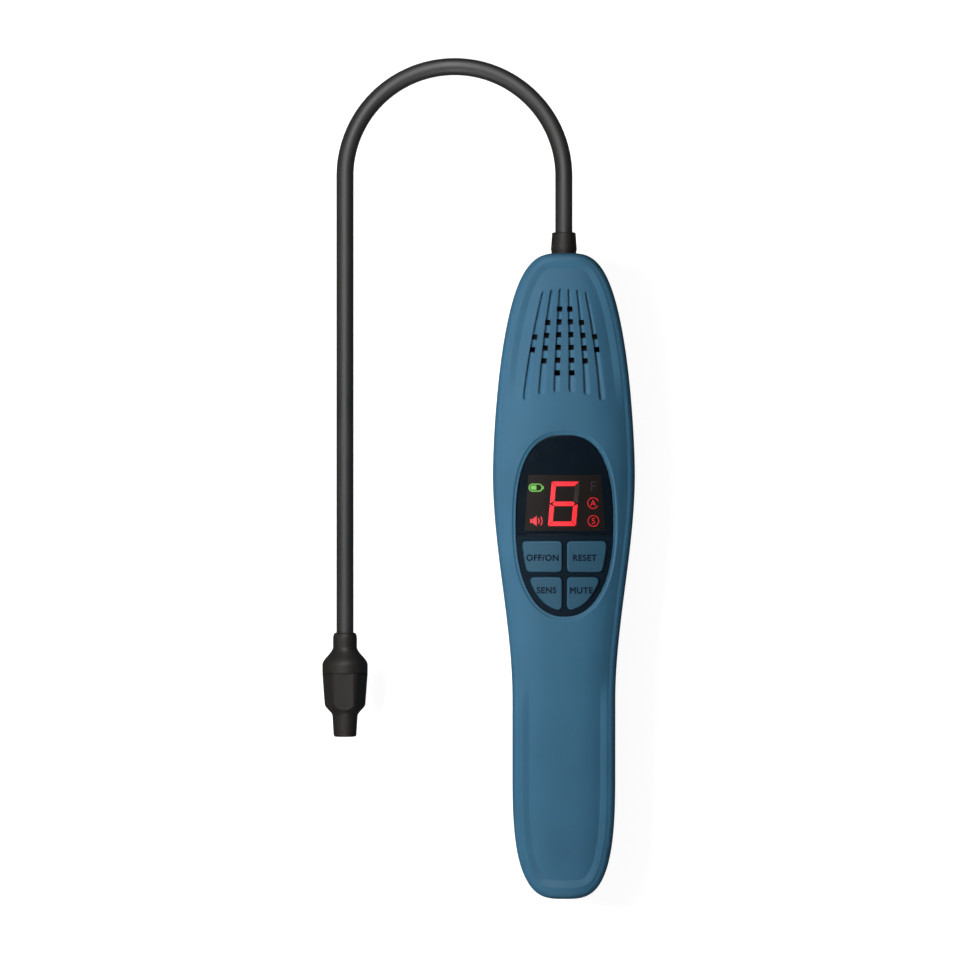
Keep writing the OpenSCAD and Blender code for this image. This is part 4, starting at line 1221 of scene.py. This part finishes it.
class DETECTOR_OT_keys(bpy.types.Operator):
    """Four rounded keys and their printed legends"""

    bl_idname = "detector.keys"
    bl_label = "Keys"

    def execute(self, context):
        s = sizes()
        top = PANEL_TOP_Z + KEY_RISE
        flange_z = PANEL_FOOT_Z - PANEL_DIP - REST_GAP
        for name, column, row, text, spot in KEYS:
            spots = key_spots(column, row)
            profile = [(KEY_R, flange_z + 0.4)] + quarter(KEY_R, top, s.key_round, 7)
            cap = crowned(plate(f"{name}_key_cap", spots, profile))
            flange = chain("flange", [
                rounded_ring(spots, KEY_R + FLANGE_OUT, z) for z in (flange_z - FLANGE_T, flange_z)])
            foot, head = flange_z - 2.6, flange_z - 0.5
            stem = turned("stem", [
                (0.0, foot), (STEM_R - 0.2, foot), (STEM_R, foot + 0.2), (STEM_R, head), (0.0, head)], 32)
            y = KEY_MID_Y + (STEM_Y if row == 0 else -STEM_Y)
            moved(stem, Matrix.Translation((column * STEM_X, y, 0)))
            cap = joined(f"{name}_key_cap", [cap, flange, stem])
            body = f"{name}_button"
            finish_piece(cap, body, finish_for("key"), [f"{name}_key"], sharp=50)
            letters = lettering(text, s.legend, spot)
            inlay(f"{name}_legend", letters, top + 0.025, 0.1, body, finish_for("legend"), LEGEND_BOLD)
        return {"FINISHED"}


def ring_strip(cx, cy, radius, wide, start=0.0, end=360.0, steps=40):
    strip = []
    for k in range(steps):
        a, b = (math.radians(mix(start, end, (k + j) / steps)) for j in (0, 1))
        strip.append([
            (cx + r * math.cos(t), cy + r * math.sin(t))
            for r, t in ((radius, a), (radius, b), (radius - wide, b), (radius - wide, a))])
    return strip


def digit_bars():
    """Bars of the digit: lit ones and the one left dark."""
    low, high, left, right, thick, lean = 129.95, 145.35, -5.8, 3.85, 1.55, math.tan(math.radians(5))
    mid, half, gap = (low + high) / 2, thick / 2, 0.16

    def slanted(poly):
        return [(x + (y - low) * lean, y) for x, y in poly]

    def level(y, inner):
        return [(left + gap, y), (right - gap, y), (right - gap - thick, inner), (left + gap + thick, inner)]

    def upright(x, inner, y0, y1, in0, in1):
        return [(x, y0), (x, y1), (inner, in1), (inner, in0)]

    upper = (mid + gap, high - gap, mid + half + gap, high - gap - thick)
    lower = (low + gap, mid - gap, low + gap + thick, mid - half - gap)
    middle = [
        (left + half + gap, mid), (left + thick + gap, mid + half), (right - thick - gap, mid + half),
        (right - half - gap, mid), (right - thick - gap, mid - half), (left + thick + gap, mid - half)]
    bars = [
        level(high, high - thick), level(low, low + thick), middle, upright(left, left + thick, *upper),
        upright(left, left + thick, *lower), upright(right, right - thick, *lower)]
    return [slanted(poly) for poly in bars], [slanted(upright(right, right - thick, *upper))]


def charge_sign():
    """A capsule with its left half full."""
    cx, cy, wide, high, line = -10.06, 143.25, 4.9, 2.8, 0.36
    r = high / 2
    flat = wide / 2 - r
    marks = ring_strip(cx - flat, cy, r, line, 90, 270, 14) + ring_strip(cx + flat, cy, r, line, -90, 90, 14)
    for y0, y1 in ((cy + r - line, cy + r), (cy - r, cy - r + line)):
        marks.append([(cx - flat, y0), (cx + flat, y0), (cx + flat, y1), (cx - flat, y1)])
    inner = r - line - 0.3
    fill = [(cx + 0.25, cy - inner), (cx + 0.25, cy + inner), (cx - flat, cy + inner)]
    for k in range(1, 8):
        a = math.radians(90 + 180 * k / 8)
        fill.append((cx - flat + inner * math.cos(a), cy + inner * math.sin(a)))
    fill.append((cx - flat, cy - inner))
    marks.append(list(reversed(fill)))
    marks.append([(cx + wide / 2 - 0.05, cy - 0.5), (cx + wide / 2 + 0.35, cy - 0.5),
                  (cx + wide / 2 + 0.35, cy + 0.5), (cx + wide / 2 - 0.05, cy + 0.5)])
    return marks


def sound_sign():
    """A speaker with two waves."""
    cx, cy = -9.9, 131.7
    marks = [[(cx - 2.1, cy - 0.7), (cx - 1.25, cy - 0.7), (cx - 1.25, cy + 0.7), (cx - 2.1, cy + 0.7)],
             [(cx - 1.15, cy - 0.72), (cx + 0.25, cy - 1.85), (cx + 0.25, cy + 1.85), (cx - 1.15, cy + 0.72)]]
    marks += ring_strip(cx - 0.35, cy, 1.6, 0.34, -42, 42, 12)
    marks += ring_strip(cx - 0.35, cy, 2.6, 0.34, -38, 38, 14)
    return marks


class DETECTOR_OT_display(bpy.types.Operator):
    """Screen with its lit digit, charge sign, sound sign and mode signs"""

    bl_idname = "detector.display"
    bl_label = "Display"

    def execute(self, context):
        top = PANEL_TOP_Z
        inlay("screen_face", [SCREEN_CORNERS], top + 0.012, 0.08, "housing", finish_for("screen"))
        lit_bars, dark_bars = digit_bars()
        inlay("lit_digit", lit_bars, top + 0.03, 0.1, "housing", finish_for("segment"))
        signs = sound_sign() + ring_strip(*AUTO_SPOT, SIGN_R, SIGN_LINE, 20, 325)
        signs += ring_strip(*LEVEL_SPOT, SIGN_R, SIGN_LINE)
        signs += lettering("A", SIGN_LETTER, AUTO_SPOT) + lettering("S", SIGN_LETTER, LEVEL_SPOT)
        inlay("lit_signs", signs, top + 0.03, 0.1, "housing", finish_for("sign"))
        inlay("charge_sign", charge_sign(), top + 0.03, 0.1, "housing", finish_for("charge"))
        dark = dark_bars + lettering("F", UNLIT_LETTER, UNLIT_SPOT)
        inlay("unlit_signs", dark, top + 0.022, 0.09, "housing", finish_for("ghost"))
        return {"FINISHED"}


# Gooseneck and tip


def along_neck(piece):
    return moved(piece, Matrix.Translation((0, BODY_L, NECK_Z)) @ Matrix.Rotation(-math.pi / 2, 4, "X"))


def along_tip(piece):
    place = Matrix.Translation((NECK_FAR_X, TIP_Y, NECK_Z))
    return moved(piece, place @ Matrix.Rotation(math.pi / 2, 4, "X"))


def neck_stations():
    """Points and directions of the middle of the neck."""
    stations = []
    low, end = BODY_L - NECK_IN_BODY, TIP_Y - NECK_IN_TIP
    for k in range(13):
        stations.append(((0.0, mix(low, BEND_Y, k / 12)), (0.0, 1.0)))
    for k in range(1, 73):
        c, s = math.cos(math.pi * k / 72), math.sin(math.pi * k / 72)
        stations.append(((-BEND_R + BEND_R * c, BEND_Y + BEND_R * s), (-s, c)))
    for k in range(1, 31):
        stations.append(((NECK_FAR_X, mix(BEND_Y, end, k / 30)), (0.0, -1.0)))
    return stations


class DETECTOR_OT_gooseneck(bpy.types.Operator):
    """Satin sleeve of the gooseneck and its collar at the nose"""

    bl_idname = "detector.gooseneck"
    bl_label = "Gooseneck"

    def execute(self, context):
        r, rings = NECK_D / 2, []
        for (x, y), (dx, dy) in neck_stations():
            rings.append([(x + dy * r * c, y - dx * r * c, NECK_Z + r * s) for c, s in full_turn(40)])
        sleeve = chain("gooseneck_sleeve_skin", rings)
        finish_piece(sleeve, "housing", finish_for("neck"), ["gooseneck_sleeve"])
        r, inner, end = COLLAR_D / 2, NECK_D / 2 + 0.05, COLLAR_L
        profile = [
            (inner, -5.6), (r + 1.45, -5.6), (r + 1.45, -3.2), (r - 0.05, -3.2), (r - 0.05, 0.0),
            (r - 0.2, 0.05), (r - 0.2, 1.1), (r - 0.1, 1.2), (r, 1.35), (r - 0.38, end - 0.6),
            (r - 0.42, end - 0.3), (r - 0.55, end - 0.1), (r - 0.75, end), (inner + 0.15, end),
            (inner, end - 0.15)]
        collar = along_neck(turned("gooseneck_collar_skin", profile, 72))
        finish_piece(collar, "housing", finish_for("tip"), ["gooseneck_collar"])
        return {"FINISHED"}


def soft_step(d0, y0, d1, y1, steps=14):
    return [(mix(d0, d1, ease(k / steps)) / 2, mix(y0, y1, k / steps)) for k in range(steps + 1)]


def fluted(r, z, a):
    """Radius of the cover with its six shallow finger flutes."""
    if r < CHAMBER_D / 2 + 0.4 or z < COVER_Y - 0.01 or z > FLARE_Y + FLARE_L / 2:
        return r
    lean = (BARREL_D - BARREL_END_D) / 2 / (FLARE_Y - COVER_Y)
    centre = BARREL_D / 2 + FLUTE_R - FLUTE_DEEP - lean * (z - COVER_Y)
    turn = (a - math.pi / 2 + FLUTE_TURN / 2) % FLUTE_TURN - FLUTE_TURN / 2
    sine = centre * math.sin(turn)
    if abs(sine) >= FLUTE_R:
        return r
    return min(r, centre * math.cos(turn) - math.sqrt(FLUTE_R ** 2 - sine ** 2))


class DETECTOR_OT_tip(bpy.types.Operator):
    """Tip holder and the fluted cover over the sensor"""

    bl_idname = "detector.tip"
    bl_label = "Tip"

    def execute(self, context):
        neck, bead, barrel, spigot = NECK_D / 2 + 0.1, BEAD_D / 2, BARREL_D / 2, SPIGOT_D / 2
        inner, end = spigot - SPIGOT_WALL, COVER_Y + SPIGOT_L
        profile = [(neck, 0.12), (neck + 0.15, 0.0)]
        for c, s in quarter_turn(8):
            profile.append((bead - BEAD_ROUND * (1 - s), BEAD_ROUND_L * (1 - c)))
        profile += [(bead, 3.2), (bead, BEAD_L - 0.4)]
        profile += soft_step(BEAD_D, BEAD_L, BARREL_D, SHOULDER_Y)
        profile += [
            (barrel, 12.4), (barrel, COVER_Y - 0.16), (barrel - 0.05, COVER_Y - 0.1), (spigot, COVER_Y - 0.1),
            (spigot, end - 0.3), (spigot - 0.3, end), (inner, end), (inner, SOCKET_Y), (neck, SOCKET_Y)]
        holder = along_tip(turned("tip_holder_skin", profile, 96))
        finish_piece(holder, "housing", finish_for("tip"), ["tip_holder"])
        chamber, nozzle, bore, flare_end = CHAMBER_D / 2, NOZZLE_D / 2, NOZZLE_BORE / 2, FLARE_Y + FLARE_L
        profile = [(chamber, COVER_Y + 0.02), (barrel - 0.05, COVER_Y + 0.02), (barrel, COVER_Y + 0.08)]
        steps = 26
        for k in range(1, steps):
            t = k / steps
            profile.append((mix(BARREL_D, BARREL_END_D, t) / 2, mix(COVER_Y + 0.08, FLARE_Y, t)))
        profile += soft_step(BARREL_END_D, FLARE_Y, NOZZLE_TOP_D, flare_end)
        for t in (0.3, 0.6, 0.9):
            profile.append((mix(NOZZLE_TOP_D, NOZZLE_D, t) / 2, mix(flare_end, TIP_L - 0.5, t)))
        profile += [
            (nozzle, TIP_L - 0.5), (nozzle - 0.1, TIP_L - 0.22), (nozzle - 0.26, TIP_L - 0.06),
            (nozzle - 0.5, TIP_L), (bore + 0.2, TIP_L), (bore, TIP_L - 0.2), (bore, flare_end),
            (chamber, FLARE_Y - 0.2)]
        cover = along_tip(turned("tip_cover_skin", profile, 180, fluted))
        finish_piece(cover, "nozzle", finish_for("tip"), ["tip_cover"])
        return {"FINISHED"}


INNER_FINISHES = {
    "cell": ("battery_cell_1", "battery_cell_2"),
    "cell_turned": ("battery_cell_3", "battery_cell_4"),
    "contact": ("battery_contacts", "battery_springs", "gooseneck_core"),
    "lead": ("battery_leads", "sensor_leads"),
    "board": ("main_board",),
    "screw": ("board_screws",),
    "inner_black": (
        "display_module", "tact_switches", "power_plunger", "reset_plunger", "sens_plunger", "mute_plunger",
        "sounder", "sensor_socket"),
    "brass": ("gooseneck_anchor",),
    "connector": ("lead_connector",),
    "felt": ("tip_filter",),
    "sensor": ("sensor_can",),
}


class DETECTOR_OT_inner_parts(bpy.types.Operator):
    """Finishes on the pieces inside the shells and the tip"""

    bl_idname = "detector.inner_parts"
    bl_label = "Inner parts"

    def execute(self, context):
        for name, nodes in INNER_FINISHES.items():
            for node in nodes:
                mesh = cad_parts[node].data
                mesh.materials.clear()
                mesh.materials.append(finish_for(name))
        return {"FINISHED"}


# Stage


def floor_finish(colour):
    """Pale floor that glows to white under the camera."""
    finish, tree, shader, place = finish_nodes("floor_pale")
    cloud = noise(tree, place, 3.0, 4.0)
    base = blend_colour(tree, cloud, shade(colour, 0.99), shade(colour, 1.01))
    tree.links.new(base, shader.inputs["Base Color"])
    uneven_gloss(tree, shader, cloud, 0.7, 0.8)
    shader.inputs["Emission Color"].default_value = (1.0, 1.0, 1.0, 1.0)
    shader.inputs["Emission Strength"].default_value = 0.92
    return finish


def area_light(name, spot, wide, high, power):
    """A white panel that faces the middle of the detector."""
    light = bpy.data.lights.new(name, "AREA")
    light.shape, light.size, light.size_y, light.energy = "RECTANGLE", wide, high, power
    lamp = linked(name, light)
    lamp.location = spot
    lamp.rotation_euler = (Vector(LIGHT_AIM) - Vector(spot)).to_track_quat("-Z", "Y").to_euler()
    return lamp


def studio_world():
    """Dim room, darker overhead, so that the window stays dark from above."""
    world = bpy.data.worlds.new("studio")
    world.use_nodes = True
    tree = world.node_tree
    place = tree.nodes.new("ShaderNodeTexCoord")
    split = tree.nodes.new("ShaderNodeSeparateXYZ")
    tree.links.new(place.outputs["Generated"], split.inputs["Vector"])
    room = spread(tree, split.outputs["Z"], 0.0, 0.85, 0.10, 0.05)
    tree.links.new(room, tree.nodes["Background"].inputs["Strength"])
    tree.nodes["Background"].inputs["Color"].default_value = (1.0, 1.0, 1.0, 1.0)
    return world


class DETECTOR_OT_stage(bpy.types.Operator):
    """Pale floor, matt light from the left, sheens from above, and the camera straight above"""

    bl_idname = "detector.stage"
    bl_label = "Stage"

    def execute(self, context):
        scene = context.scene
        z, half = cad_box[0].z - FLOOR_DROP, FLOOR_HALF
        corners = [(-half, -half, z), (half, -half, z), (half, half, z), (-half, half, z)]
        floor = new_piece("floor", corners, [(0, 1, 2, 3)])
        floor.data.materials.append(floor_finish(colours().floor))
        floor.visible_diffuse = floor.visible_glossy = False
        matt = area_light("left_panel", (-0.34, 0.05, 0.40), 0.22, 0.34, 4.0)
        fill = area_light("right_fill", (0.85, -0.85, 0.28), 0.8, 0.5, 2.6)
        matt.visible_glossy = fill.visible_glossy = matt.visible_camera = False
        sheens = [area_light("top_sheen", (-0.20, 0.46, 1.2), 0.8, 0.3, 10.0)]
        for end in (-1, 1):
            sheens.append(area_light(f"end_sheen_{end}", (-0.15, 1.1 * end, 1.0), 0.6, 0.4, 9.0))
        for sheen in sheens:
            sheen.visible_diffuse = False
        scene.world = studio_world()
        scene.view_settings.view_transform = "Standard"
        lens = bpy.data.cameras.new("photo_camera")
        lens.sensor_width = 36.0
        lens.lens = lens.sensor_width * CAMERA_FAR / VIEW_WIDE
        camera = linked("photo_camera", lens)
        camera.location = (VIEW_X, VIEW_Y, VIEW_Z + CAMERA_FAR)
        scene.camera = camera
        return {"FINISHED"}


STEPS = (
    DETECTOR_OT_front_shell,
    DETECTOR_OT_rear_shell,
    DETECTOR_OT_battery_door,
    DETECTOR_OT_shell_screws,
    DETECTOR_OT_panel,
    DETECTOR_OT_keys,
    DETECTOR_OT_display,
    DETECTOR_OT_gooseneck,
    DETECTOR_OT_tip,
    DETECTOR_OT_inner_parts,
    DETECTOR_OT_stage,
)


class DETECTOR_PT_panel(bpy.types.Panel):
    """Pieces, sizes and colours of the detector"""

    bl_idname = "DETECTOR_PT_panel"
    bl_label = "Leak detector"
    bl_space_type = "VIEW_3D"
    bl_region_type = "UI"
    bl_category = "Detector"

    def draw(self, context):
        column = self.layout.column(align=True)
        for step in STEPS:
            column.operator(step.bl_idname)
        for group in (context.scene.detector_sizes, context.scene.detector_colours):
            box = self.layout.box()
            for name in group.__annotations__:
                box.prop(group, name)


CLASSES = (DetectorSizes, DetectorColours, *STEPS, DETECTOR_PT_panel)


def register():
    for cls in CLASSES:
        bpy.utils.register_class(cls)
    bpy.types.Scene.detector_sizes = bpy.props.PointerProperty(type=DetectorSizes)
    bpy.types.Scene.detector_colours = bpy.props.PointerProperty(type=DetectorColours)


def unregister():
    del bpy.types.Scene.detector_colours
    del bpy.types.Scene.detector_sizes
    for cls in reversed(CLASSES):
        bpy.utils.unregister_class(cls)


def main():
    register()
    bpy.ops.detector.front_shell()
    bpy.ops.detector.rear_shell()
    bpy.ops.detector.battery_door()
    bpy.ops.detector.shell_screws()
    bpy.ops.detector.panel()
    bpy.ops.detector.keys()
    bpy.ops.detector.display()
    bpy.ops.detector.gooseneck()
    bpy.ops.detector.tip()
    bpy.ops.detector.inner_parts()
    bpy.ops.detector.stage()


if __name__ == "__main__":
    main()
